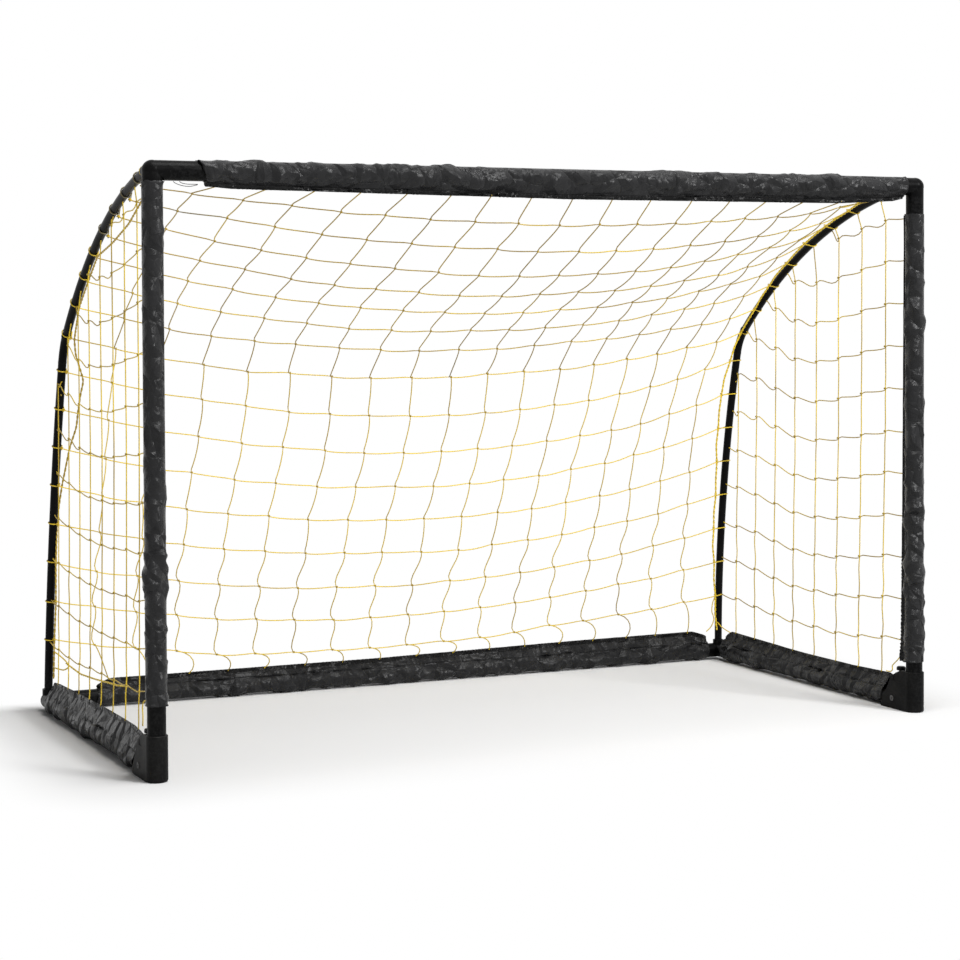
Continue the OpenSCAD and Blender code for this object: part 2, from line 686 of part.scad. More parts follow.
lower_pole(1);  // right_lower_pole
crossbar_sleeve();
post_sleeve(-1, post_sleeve_z_l, bar_z - elbow_drop + 2);  // left_post_sleeve
post_sleeve(1, post_sleeve_z_r, bar_z - elbow_drop - post_sleeve_gap_r);  // right_post_sleeve
side_sleeve(-1);  // left_side_sleeve
side_sleeve(1);  // right_side_sleeve
back_sleeve();
side_net(-1);  // left_side_net
side_net(1);  // right_side_net
roof_net();
back_net();
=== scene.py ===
import bpy, math
import numpy as np
from mathutils import Matrix, Vector


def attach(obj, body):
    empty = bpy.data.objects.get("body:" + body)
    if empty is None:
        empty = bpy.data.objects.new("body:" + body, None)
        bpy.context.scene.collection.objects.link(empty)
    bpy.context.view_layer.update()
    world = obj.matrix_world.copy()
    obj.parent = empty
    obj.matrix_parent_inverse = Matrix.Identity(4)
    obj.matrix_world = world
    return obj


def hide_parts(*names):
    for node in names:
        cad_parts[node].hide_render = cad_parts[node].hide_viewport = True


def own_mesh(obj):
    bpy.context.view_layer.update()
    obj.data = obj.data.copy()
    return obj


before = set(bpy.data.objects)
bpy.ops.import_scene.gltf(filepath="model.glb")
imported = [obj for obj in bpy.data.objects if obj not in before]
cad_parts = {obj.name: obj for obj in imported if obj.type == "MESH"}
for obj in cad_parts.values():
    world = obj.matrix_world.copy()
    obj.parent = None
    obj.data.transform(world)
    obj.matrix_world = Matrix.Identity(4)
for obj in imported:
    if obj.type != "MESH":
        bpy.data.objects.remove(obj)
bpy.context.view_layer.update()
mm = 0.001

camera = dict(place=(-2.15805, -4.75864, 0.92659), yaw=0.4260, pitch=0.0294, roll=-0.0044,
              focal=2279.54, centre=(477.84, 375.52), frame=960)


def addObject(name, data):
    obj = bpy.data.objects.new(name, data)
    bpy.context.scene.collection.objects.link(obj)
    return obj


def makeCamera(c):
    data = bpy.data.cameras.new("camera")
    data.sensor_fit = "AUTO"
    data.sensor_width = 36
    data.lens = 36 * c["focal"] / c["frame"]
    half = c["frame"] / 2
    data.shift_x = (half - c["centre"][0]) / c["frame"]
    data.shift_y = (c["centre"][1] - half) / c["frame"]
    data.clip_start, data.clip_end = 0.1, 100
    ahead = Vector((math.sin(c["yaw"]) * math.cos(c["pitch"]),
                    math.cos(c["yaw"]) * math.cos(c["pitch"]), -math.sin(c["pitch"])))
    side = Vector((math.cos(c["yaw"]), -math.sin(c["yaw"]), 0))
    up = side.cross(ahead)
    cosR, sinR = math.cos(c["roll"]), math.sin(c["roll"])
    right = side * cosR + up * sinR
    top = up * cosR - side * sinR
    turn = Matrix((right, top, -ahead)).transposed().to_4x4()
    obj = addObject("camera", data)
    obj.matrix_world = Matrix.Translation(c["place"]) @ turn
    bpy.context.scene.camera = obj


makeCamera(camera)
print("camera set")


# Node helpers. A plain value is set on its socket, and another node's output is linked to it.

def setSockets(tree, node, sockets):
    for socket, value in sockets.items():
        if isinstance(value, bpy.types.NodeSocket):
            tree.links.new(value, node.inputs[socket])
        else:
            node.inputs[socket].default_value = value
    return node


def addNode(tree, kind, sockets=None, **settings):
    node = tree.nodes.new(kind)
    for key, value in settings.items():
        setattr(node, key, value)
    return setSockets(tree, node, sockets or {})


def mathNode(tree, operation, *values):
    return addNode(tree, "ShaderNodeMath", dict(enumerate(values)), operation=operation).outputs[0]


def times(tree, first, *others):
    for value in others:
        first = mathNode(tree, "MULTIPLY", first, value)
    return first


def ramp(tree, value, low, high, out0=0.0, out1=1.0):
    return addNode(tree, "ShaderNodeMapRange", dict(enumerate((value, low, high, out0, out1))),
                   interpolation_type="SMOOTHSTEP").outputs[0]


def shade(colour, amount=1.0):
    return tuple(min(1, c * amount) for c in colour) + (1,)


def mixColour(tree, factor, a, b):
    return addNode(tree, "ShaderNodeMix", {0: factor, 6: a, 7: b}, data_type="RGBA").outputs[2]


def noiseAt(tree, where, scale, detail=3.0, rough=0.55, output="Fac"):
    sockets = {"Vector": where, "Scale": scale, "Detail": detail, "Roughness": rough}
    return addNode(tree, "ShaderNodeTexNoise", sockets).outputs[output]


def onVectors(tree, operation, sockets):
    return addNode(tree, "ShaderNodeVectorMath", sockets, operation=operation).outputs[0]


def axes(tree, vector):
    return addNode(tree, "ShaderNodeSeparateXYZ", {0: vector}).outputs


def bumped(tree, height, strength, distance, under=None):
    sockets = {"Strength": strength, "Distance": distance, "Height": height}
    if under is not None:
        sockets["Normal"] = under
    return addNode(tree, "ShaderNodeBump", sockets).outputs[0]


# Shader groups, each built once and placed with its own values

def newGroup(name, where, inputs, outputs):
    tree = bpy.data.node_groups.new(name, "ShaderNodeTree")
    tree.interface.new_socket(name=where, in_out="INPUT", socket_type="NodeSocketVector")
    for label, value in inputs.items():
        socket = tree.interface.new_socket(name=label, in_out="INPUT", socket_type="NodeSocketFloat")
        socket.default_value = value
    for label in outputs:
        tree.interface.new_socket(name=label, in_out="OUTPUT", socket_type="NodeSocketFloat")
    return tree, addNode(tree, "NodeGroupInput").outputs


def makeDust():
    # patches on what faces up, and single specks
    tree, given = newGroup("dust", "Place", {"Amount": 0.3, "Patch Scale": 9.0}, ("Mask", "Speck"))
    cloud = ramp(tree, noiseAt(tree, given["Place"], given["Patch Scale"], 5, 0.5), 0.42, 0.72)
    upward = axes(tree, addNode(tree, "ShaderNodeNewGeometry").outputs["Normal"])[2]
    facing = ramp(tree, upward, 0.1, 0.95, 0.25, 1.0)
    speck = ramp(tree, noiseAt(tree, given["Place"], 900, 2), 0.68, 0.74)
    addNode(tree, "NodeGroupOutput", {"Mask": times(tree, cloud, facing, given["Amount"]),
                                      "Speck": times(tree, speck, given["Amount"])})
    return tree


def makeWear():
    # bright on outer edges, broken up by noise, with fine scratches up the piece
    tree, given = newGroup("edge wear", "Place", {"Amount": 0.5}, ("Mask", "Scratch"))
    edge = ramp(tree, addNode(tree, "ShaderNodeNewGeometry").outputs["Pointiness"], 0.515, 0.56)
    broken = ramp(tree, noiseAt(tree, given["Place"], 160, 4, 0.7), 0.42, 0.62)
    drawnOut = onVectors(tree, "MULTIPLY", {0: given["Place"], 1: (1.0, 1.0, 0.06)})
    line = ramp(tree, noiseAt(tree, drawnOut, 420, 2, 0.8), 0.66, 0.72)
    addNode(tree, "NodeGroupOutput", {"Mask": times(tree, edge, broken, given["Amount"]),
                                      "Scratch": times(tree, line, given["Amount"])})
    return tree


def makeGrain():
    # fine spark-eroded grain of a moulded part, or the peel of a powder coat
    tree, given = newGroup("grain", "Place", {"Size": 1200.0, "Peel": 0.4}, ("Height", "Tone"))
    fine = addNode(tree, "ShaderNodeTexVoronoi", {"Vector": given["Place"], "Scale": given["Size"]},
                   feature="SMOOTH_F1")
    peel = times(tree, noiseAt(tree, given["Place"], 70, 2), given["Peel"])
    addNode(tree, "NodeGroupOutput", {"Height": mathNode(tree, "ADD", fine.outputs["Distance"], peel),
                                      "Tone": noiseAt(tree, given["Place"], 14, 3)})
    return tree


def makeWeave():
    # plain weave on the cloth's own map, in metres along and around
    tree, given = newGroup("weave", "Map", {"Threads Per Metre": 1600.0}, ("Height", "Over"))
    count = times(tree, given["Threads Per Metre"], math.pi)
    along, around, _ = axes(tree, given["Map"])
    both = times(tree, *(mathNode(tree, "SINE", times(tree, axis, count)) for axis in (along, around)))
    addNode(tree, "NodeGroupOutput", {"Height": both, "Over": ramp(tree, both, -0.6, 0.6)})
    return tree


def makeCrinkle():
    # small sharp facets and short creases pressed into thin coated cloth
    tree, given = newGroup("crinkle", "Place", {"Facet Scale": 60.0}, ("Height",))
    push = onVectors(tree, "SCALE", {0: noiseAt(tree, given["Place"], 22, 2, 0.5, "Color"), 3: 0.007})
    where = onVectors(tree, "ADD", {0: given["Place"], 1: push})
    heights = []
    for share, gain in ((1.0, 1.0), (2.7, 0.13)):
        scale = times(tree, given["Facet Scale"], share)
        cells = addNode(tree, "ShaderNodeTexVoronoi", {"Vector": where, "Scale": scale},
                        feature="DISTANCE_TO_EDGE")
        heights.append(times(tree, cells.outputs["Distance"], gain))
    addNode(tree, "NodeGroupOutput", {"Height": mathNode(tree, "ADD", *heights)})
    return tree


groups = dict(dust=makeDust(), wear=makeWear(), grain=makeGrain(), weave=makeWeave(), crinkle=makeCrinkle())


def placeGroup(tree, name, where, **values):
    return addNode(tree, "ShaderNodeGroup", {0: where, **values}, node_tree=groups[name]).outputs


def startMaterial(name):
    mat = bpy.data.materials.new(name)
    mat.use_nodes = True
    tree = mat.node_tree
    return mat, tree, tree.nodes["Principled BSDF"], addNode(tree, "ShaderNodeTexCoord").outputs["Object"]


dirt = dict(patch=(0.32, 0.31, 0.29), speck=(0.5, 0.49, 0.47), cloth=(0.09, 0.09, 0.088))


def hardFinish(c):
    # painted steel, moulded plastic or bare metal: grain, edge wear, scratches and dust
    mat, tree, body, place = startMaterial(c["name"])
    grain = placeGroup(tree, "grain", place, Size=c["grain"], Peel=c["peel"])
    wear = placeGroup(tree, "wear", place, Amount=0.25)
    dust = placeGroup(tree, "dust", place, **{"Amount": c["dusty"], "Patch Scale": 8.0})
    base = mixColour(tree, grain["Tone"], shade(c["colour"], 0.9), shade(c["colour"], 1.12))
    for mask, colour in ((wear["Mask"], c["worn"]), (dust["Mask"], dirt["patch"]),
                         (dust["Speck"], dirt["speck"])):
        base = mixColour(tree, mask, base, shade(colour))
    rough = ramp(tree, grain["Tone"], 0.3, 0.7, c["rough"] - 0.05, c["rough"] + 0.06)
    rough = mathNode(tree, "ADD", rough, times(tree, dust["Mask"], 0.5))
    rough = mathNode(tree, "ADD", rough, times(tree, wear["Scratch"], 0.12))
    scratched = bumped(tree, wear["Scratch"], 0.12, 0.0001)
    setSockets(tree, body, {"Base Color": base, "Roughness": rough, "Coat Weight": c["coat"],
                            "Coat Roughness": 0.22, "Specular IOR Level": 0.05,
                            "Normal": bumped(tree, grain["Height"], 0.35, c["depth"], scratched)})
    if c["bare"]:
        setSockets(tree, body, {"Metallic": times(tree, wear["Mask"], c["bare"])})
    return mat


def clothFinish(c):
    # thin coated nylon: fine weave, soft sheen, pressed creases, painted shade along the hem band and a
    # little dust
    mat, tree, body, place = startMaterial(c["name"])
    clothMap = addNode(tree, "ShaderNodeAttribute", attribute_name="cloth map").outputs["Vector"]
    pastHem = ramp(tree, axes(tree, clothMap)[2], *c["hemLine"])
    flatMap = onVectors(tree, "MULTIPLY", {0: clothMap, 1: (1.0, 1.0, 0.0)})
    weave = placeGroup(tree, "weave", clothMap, **{"Threads Per Metre": c["threads"]})
    crinkle = placeGroup(tree, "crinkle", flatMap, **{"Facet Scale": c["facets"]})
    dust = placeGroup(tree, "dust", place, **{"Amount": 0.16, "Patch Scale": 14.0})
    patchy = noiseAt(tree, place, 26, 4)
    base = mixColour(tree, patchy, shade(c["tint"], 0.7), shade(c["tint"], 1.25))
    base = mixColour(tree, ramp(tree, weave["Over"], 0, 1, 0, 0.35), base, (0, 0, 0, 1))
    base = mixColour(tree, dust["Mask"], base, shade(dirt["cloth"]))
    # painted shade: the band along the hem's fold is painted darker than the rest of the cloth
    base = mixColour(tree, pastHem, shade(c["tint"], 0.25), base)
    creased = bumped(tree, crinkle["Height"], 1.0, c["creaseDepth"])
    creased = bumped(tree, pastHem, 0.6, c["hemDepth"], creased)
    setSockets(tree, body, {"Base Color": base, "Roughness": ramp(tree, patchy, 0.3, 0.7, 0.25, 0.32),
                            "Sheen Weight": 0.02, "Sheen Roughness": 0.35, "Specular IOR Level": 0.16,
                            "Normal": bumped(tree, weave["Height"], 0.25, c["weaveDepth"], creased)})
    return mat


def yarnFinish(c):
    # twisted cord: "swirl" runs round the cord and "along" down it; the third attribute is painted shade,
    # taking the lit yellow through a shaded olive to a deep grey shade
    mat, tree, body, place = startMaterial(c["name"])
    swirl, along, tone = (addNode(tree, "ShaderNodeAttribute", attribute_name=label).outputs
                          for label in ("swirl", "along", "tone"))
    x, y, _ = axes(tree, swirl["Vector"])
    angle = times(tree, mathNode(tree, "ARCTAN2", y, x), c["plies"])
    ply = ramp(tree, mathNode(tree, "SINE", mathNode(tree, "MULTIPLY_ADD", along["Fac"], c["twist"], angle)),
               -1, 1)
    fuzz = noiseAt(tree, place, 700, 2)
    # painted shade: the higher a point's painted shade, the further its lit yellow goes over into the shaded
    # olive and then the deep grey shade
    base = mixColour(tree, ramp(tree, tone["Fac"], 0.0, 0.6), shade(c["bright"]), shade(c["dull"]))
    base = mixColour(tree, ramp(tree, tone["Fac"], 0.6, 1.0), base, shade(c["grey"]))
    # painted shade in the grooves between the plies
    base = mixColour(tree, ramp(tree, ply, 0, 0.5, 0.25, 0), base, (0.16, 0.11, 0.01, 1))
    base = mixColour(tree, ramp(tree, fuzz, 0.4, 0.75, 0, 0.15), base, (0.85, 0.7, 0.2, 1))
    height = mathNode(tree, "ADD", ply, times(tree, fuzz, 0.3))
    setSockets(tree, body, {"Base Color": base, "Roughness": ramp(tree, ply, 0, 1, 0.62, 0.45),
                            "Sheen Weight": 0.1, "Normal": bumped(tree, height, 0.7, c["depth"])})
    return mat


def threadFinish(c):
    mat, tree, body, place = startMaterial(c["name"])
    fibre = noiseAt(tree, onVectors(tree, "MULTIPLY", {0: place, 1: (1.0, 1.0, 3.0)}), 2600, 2, 0.8)
    base = mixColour(tree, fibre, shade(c["colour"], 0.55), shade(c["colour"]))
    setSockets(tree, body, {"Base Color": base, "Roughness": ramp(tree, fibre, 0.3, 0.7, 0.45, 0.65),
                            "Normal": bumped(tree, fibre, 0.6, c["depth"])})
    return mat


finishes = {
    "black_steel": (hardFinish, dict(
        name="black painted steel", colour=(0.0022, 0.0022, 0.0024), worn=(0.03, 0.03, 0.03), rough=0.30,
        coat=0.0, grain=900.0, peel=0.5, depth=0.00006, dusty=0.03, bare=0)),
    "foot_moulding": (hardFinish, dict(
        name="moulded black plastic", colour=(0.0035, 0.0035, 0.0037), worn=(0.025, 0.025, 0.025), rough=0.42,
        coat=0.0, grain=1500.0, peel=0.25, depth=0.00014, dusty=0.12, bare=0)),
    "rivet_steel": (hardFinish, dict(
        name="blackened rivet steel", colour=(0.10, 0.10, 0.10), worn=(0.5, 0.5, 0.5), rough=0.38,
        coat=0.0, grain=700.0, peel=0.3, depth=0.00008, dusty=0.1, bare=1.0)),
    "button_plastic": (hardFinish, dict(
        name="button plastic", colour=(0.005, 0.005, 0.0055), worn=(0.04, 0.04, 0.04), rough=0.33,
        coat=0.05, grain=1700.0, peel=0.15, depth=0.00008, dusty=0.08, bare=0)),
    "sleeve_cloth": (clothFinish, dict(
        name="black coated nylon", tint=(0.020, 0.020, 0.021), facets=19.0, threads=1500.0,
        hemLine=(0.0078, 0.0092), creaseDepth=0.029, hemDepth=0.0008, weaveDepth=0.00012)),
    # net yarn: its lit yellow, and two painted shade colours for strands that the light reaches less
    "net_yarn": (yarnFinish, dict(
        name="yellow net yarn", bright=(0.95, 0.67, 0.006), dull=(0.40, 0.26, 0.012), grey=(0.13, 0.11, 0.06),
        plies=3.0, twist=900.0, depth=0.0004)),
    "seam_thread": (threadFinish, dict(name="black seam thread", colour=(0.035, 0.035, 0.037), depth=0.0002)),
}
materials = {slot: make(values) for slot, (make, values) in finishes.items()}
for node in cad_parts.values():
    for k, old in enumerate(node.data.materials):
        node.data.materials[k] = materials[next((m for m in materials if m in old.name), "black_steel")]
print("materials made")


# Sleeves: thin cloth with spare length, relaxed round its tube until it buckles into creases

def lengths(v, keep=False):
    return np.sqrt((v * v).sum(-1, keepdims=keep))


def tug(p, down, across, rest, stiff, onlyShort=False):
    # draws every grid point and its neighbour towards their flat distance
    n = len(p) - down
    a = p[:n]
    b = np.roll(p, -across, 1)[down:]
    gap = b - a
    length = lengths(gap) + 1e-9
    wrong = length - rest[:n]
    if onlyShort:
        wrong = np.minimum(wrong, 0)
    move = gap * (wrong / length * stiff * 0.5)[..., None]
    p[:n] += move
    p[down:] -= np.roll(move, across, 1)


def fromEdge(n):
    return np.minimum(np.arange(n), n - 1 - np.arange(n))


def smoothNoise(rng, n, m, reach):
    grid = rng.normal(size=(n, m))
    for axis, width in ((0, reach[0]), (1, reach[1])):
        k = np.exp(-np.linspace(-2, 2, 2 * width + 1) ** 2)
        k /= k.sum()
        pad = [(0, 0), (0, 0)]
        pad[axis] = (width, width)
        wide = np.pad(grid, pad, mode="wrap")
        grid = np.apply_along_axis(lambda v: np.convolve(v, k, "valid"), axis, wide)
    return grid / grid.std()


def foldFacets(rng, n, m, step, spacing):
    # heights joined by flat triangles, as stiff thin cloth creases
    wide, high = int(n * step / spacing) + 5, int(m * step / spacing) + 9
    heights = rng.normal(size=(wide, high))
    x = np.arange(n)[:, None] * step / spacing + 0.32 * smoothNoise(rng, n, m, (8, 6)) + 1.5
    y = np.arange(m)[None, :] * step / spacing + 0.32 * smoothNoise(rng, n, m, (8, 6)) + 1.5
    i, j = np.floor(x).astype(int), np.floor(y).astype(int)
    fx, fy = x - i, y - j
    flip = (i + j) % 2
    fx = np.where(flip == 1, 1 - fx, fx)
    near, far, nextJ = (i + flip) % wide, (i + 1 - flip) % wide, (j + 1) % high
    j = j % high
    p00, p10, p01, p11 = heights[near, j], heights[far, j], heights[near, nextJ], heights[far, nextJ]
    return np.where(fx + fy < 1, p00 + (p10 - p00) * fx + (p01 - p00) * fy,
                    p11 + (p01 - p11) * (1 - fx) + (p10 - p11) * (1 - fy))


def wrapCloth(c):
    # the cloth's grid laid snugly round the tube, from one side of the hem to the other
    snug = c["tube"] + 1.1
    s = np.linspace(0, c["length"], int(c["length"] / c["step"]) + 1)
    hem = np.interp(s, *zip(*c["hemLine"]))
    lean = np.arccos(np.clip(snug / hem, -1, 1))
    run = np.sqrt(np.maximum(hem ** 2 - snug ** 2, 0))
    arc = (2 * math.pi - 2 * lean) * snug
    girth = 2 * run + arc
    m = int(np.median(girth) / c["step"] / 2) * 2
    u = ((np.arange(m) + 0.5) / m)[None, :] * girth[:, None]
    run, arc, lean, low, whole = (x[:, None] for x in (run, arc, lean, hem, girth))
    turn = lean + (np.clip(u, run, run + arc) - run) / snug
    a, b = -snug * np.sin(turn), -snug * np.cos(turn)
    rises, falls = u < run, u > run + arc
    f = np.where(rises, u / np.maximum(run, 1e-6), (whole - u) / np.maximum(run, 1e-6))
    touchA, touchB = snug * np.sin(lean), -snug * np.cos(lean)
    a = np.where(rises, -touchA * f, np.where(falls, touchA * f, a))
    b = np.where(rises | falls, -low + (touchB + low) * f, b)
    return s, hem, girth, np.stack([np.repeat(s[:, None], m, 1), a, b], -1)


def tiltEnds(c, p, s, hem, rng):
    # uneven cut ends, which the cloth near them follows
    n, m = p.shape[:2]
    ends = p[[0, -1]].copy()
    for k, amount in enumerate(c.get("endTilt", (0, 0))):
        share = np.clip((c["tube"] - ends[k, :, 2]) / (c["tube"] + hem[-k]), 0, 1)
        ends[k, :, 0] += amount * share + rng.normal(size=m) * c["endRough"]
    row = np.arange(n)[:, None]
    for end, flat, rows in ((ends[0], s[0], row), (ends[1], s[-1], n - 1 - row)):
        p[..., 0] += (end[:, 0] - flat) * np.clip(1 - rows / c["endReach"], 0, 1)
    return ends


def closeHem(c, p, hem):
    # both faces of the hem are sewn together, and its edge hangs at the hem's depth
    for j in (1, 2):
        middle, half = (p[:, j] + p[:, -1 - j]) / 2, (p[:, -1 - j] - p[:, j]) / 2
        half *= np.minimum(1, c["hemGap"] / (lengths(half, True) + 1e-9))
        p[:, j], p[:, -1 - j] = middle - half, middle + half
    for j in (0, -1):
        p[:, j, 2] += (-hem - p[:, j, 2]) * c["hemHold"]
        p[:, j, 1] *= c["hemDraw"]


def keepOff(c, p):
    # out of the tube and the ground, and not far off the tube except at the hem
    r, least = lengths(p[..., 1:]), c["tube"] + c["clear"]
    near = np.maximum(r, 1e-6)
    push = np.where(r < least, least / near, 1)
    far = np.where((r > c["most"]) & (-p[..., 2] < c["most"] * 0.6), c["most"] / near, 1)
    p[..., 1:] *= (push * (1 + (far - 1) * c["drawIn"]))[..., None]
    if "floor" in c:
        p[..., 2] = np.minimum(p[..., 2], c["floor"])


def creaseCloth(c, p, rng, slack):
    # presses the facets into the relaxed cloth, outwards where two layers lie together
    n, m = p.shape[:2]
    q = p.copy()
    for _ in range(c["smoothings"]):
        q[1:-1, 3:-3] = (2 * q[1:-1, 3:-3] + q[:-2, 3:-3] + q[2:, 3:-3] + q[1:-1, 2:-4] + q[1:-1, 4:-2]) / 6
    face = np.cross(np.gradient(q, axis=0), np.gradient(q, axis=1))
    face *= np.sign((face * (q * (0, 1, 1))).sum(-1).mean())
    face /= lengths(face, True) + 1e-9
    shape = foldFacets(rng, n, m, c["step"], c["facet"])
    shape = shape + 0.42 * foldFacets(rng, n, m, c["step"], c["facet"] * 0.47)
    shape = np.where(-q[..., 2] > c["tube"] + 3, np.abs(shape) * 0.8, shape + 0.25)
    fade = np.clip((fromEdge(m) - 2) / 3, 0, 1)[None, :]
    ends = np.clip(fromEdge(n) / 4, 0, 1)[:, None]
    amount = c["press"] * (0.2 + 0.8 * np.clip((slack - 0.025) / 0.06, 0, 1))[:, None]
    q += face * (shape * fade * ends * amount)[..., None]
    r = np.maximum(lengths(q[..., 1:]), 1e-6)
    low, high, hemTop = c["tube"] + 0.8, c["most"] + 1.5, c["most"] * 0.6
    fit = np.where(r < low, low / r, np.where((r > high) & (-q[..., 2] < hemTop), high / r, 1))
    q[..., 1:] *= fit[..., None]
    most = math.sqrt(high ** 2 - hemTop ** 2)
    q[..., 1] = np.where(-q[..., 2] < hemTop, q[..., 1], np.clip(q[..., 1], -most, most))
    if "floor" in c:
        q[..., 2] = np.minimum(q[..., 2], c["floor"])
    return q


def relaxCloth(c):
    # local axes in mm: s along the tube, a across, b away from the hem
    rng = np.random.default_rng(c["seed"])
    s, hem, girth, p = wrapCloth(c)
    n, m = p.shape[:2]
    slack = np.interp(s, *zip(*c["slack"]))
    gap = np.diff(s, append=s[-1] + s[1])
    along = gap * (1 + slack)
    along = along * (1 + c["uneven"] * smoothNoise(rng, n, 1, (6, 0))[:, 0] * slack / 0.04)
    freedom = 0.25 + 0.75 * np.clip(fromEdge(m) / 6, 0, 1)
    down = gap[:, None] * (1 + (along / gap - 1)[:, None] * freedom)
    down *= 1 + 0.35 * slack[:, None] * smoothNoise(rng, n, m, (9, 5))
    cut = girth * (1 + np.interp(s, *zip(*c["girth"])))
    around = np.repeat((cut / m)[:, None], m, 1)
    around[:, -1] = 0.9
    cross = np.sqrt(down ** 2 + around ** 2)
    out = p * (0, 1, 1)
    rough = smoothNoise(rng, n, m, (7, 5)) + 0.6 * smoothNoise(rng, n, m, (3, 3))
    p += out / lengths(out, True) * (c["rumple"] * rough)[..., None]
    skew = c["skew"] * smoothNoise(rng, n, m, (10, 8))
    ends = tiltEnds(c, p, s, hem, rng)
    before, weight, bend = p.copy(), np.array(c["gravity"], float), c["bend"]
    pulls = ((1, 0, down, 0.5), (0, 1, around, 0.5), (1, 1, cross * (1 + skew), 0.22),
             (1, -1, cross * (1 - skew), 0.22), (2, 0, down * 1.92, bend, True),
             (0, 2, around * 1.92, bend, True), (4, 0, down * 3.55, bend * 0.5, True),
             (0, 4, around * 3.5, bend * 0.4, True))
    for _ in range(c["rounds"]):
        speed = (p - before) * c["keepSpeed"]
        before = p.copy()
        p = p + speed + weight
        for _ in range(2):
            for pull in pulls:
                tug(p, *pull)
            closeHem(c, p, hem)
            keepOff(c, p)
            p[0], p[-1] = ends
    p = creaseCloth(c, p, rng, slack)
    clothMap = np.stack([np.repeat(np.cumsum(along)[:, None], m, 1), np.cumsum(around, 1),
                         np.tile(fromEdge(m) * c["step"], (n, 1))], -1)
    return p, clothMap, (float(along.sum()), float(np.median(cut)))


def inPlace(c, p):
    # from the sleeve's own axes to the goal's, in mm
    start, s, a, b = (np.array(c[k], float) for k in ("start", "s", "a", "b"))
    return start + p[..., :1] * s + p[..., 1:2] * a + p[..., 2:] * b


def setAttribute(data, label, values):
    values = np.array(values, np.float32)
    kind, field = ("FLOAT", "value") if values.ndim == 1 else ("FLOAT_VECTOR", "vector")
    data.attributes.new(label, kind, "POINT").data.foreach_set(field, values.ravel())


def settle(obj):
    # the evaluated mesh takes the place of the modifiers
    graph = bpy.context.evaluated_depsgraph_get()
    done = bpy.data.meshes.new_from_object(obj.evaluated_get(graph), depsgraph=graph)
    obj.modifiers.clear()
    obj.data = done


def buildSleeve(c):
    # one thin shell, or two where the stitched flap is split off above a given height
    p, clothMap, cut = relaxCloth(c)
    n, m = p.shape[:2]
    k, j = np.meshgrid(np.arange(n - 1), np.arange(m), indexing="ij")
    corners = [k * m + j, (k + 1) * m + j, (k + 1) * m + (j + 1) % m, k * m + (j + 1) % m]
    quads = np.stack(corners, -1).reshape(-1, 4)
    if np.dot(np.cross(c["s"], c["a"]), c["b"]) > 0:
        quads = quads[:, ::-1]
    world, clothMap = (inPlace(c, p) * mm).reshape(-1, 3), (clothMap * mm).reshape(-1, 3)
    whole = bpy.data.meshes.new("whole sleeve")
    whole.from_pydata(world.tolist(), [], quads.tolist())
    normals = np.array([x.vector[:] for x in whole.vertex_normals])
    bpy.data.meshes.remove(whole)
    flap = world[quads].mean(1)[:, 2] > c.get("splitAt", math.inf) * mm
    pieces = []
    for name, part in ((c["name"], ~flap), (c["name"].replace("cloth", "flap"), flap)):
        if not part.any():
            continue
        used, faces = np.unique(quads[part], return_inverse=True)
        data = bpy.data.meshes.new(name)
        data.from_pydata(world[used].tolist(), [], faces.reshape(-1, 4).tolist())
        setAttribute(data, "cloth map", clothMap[used])
        data.polygons.foreach_set("use_smooth", [True] * len(data.polygons))
        data.materials.append(materials["sleeve_cloth"])
        obj = addObject(name, data)
        shell = obj.modifiers.new("cloth thickness", "SOLIDIFY")
        shell.thickness, shell.offset, shell.use_rim = c["thick"] * mm, -1, True
        settle(obj)
        if "splitAt" in c:
            # the outer face keeps the whole sleeve's normals, so that no line shows at the split
            kept = np.zeros((len(obj.data.loops), 3))
            kept[:faces.size] = normals[used][[x.vertex_index for x in obj.data.loops[:faces.size]]]
            obj.data.normals_split_custom_set(kept.tolist())
        pieces.append((obj, (round(cut[1] * mm * part.mean(), 4), round(cut[0] * mm, 4))))
    return pieces, p


def dressSleeve(piece, c, folds):
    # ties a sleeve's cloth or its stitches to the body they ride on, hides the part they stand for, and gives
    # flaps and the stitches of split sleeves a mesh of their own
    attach(piece, c["body"])
    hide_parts(c["node"])
    if folds:
        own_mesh(piece)


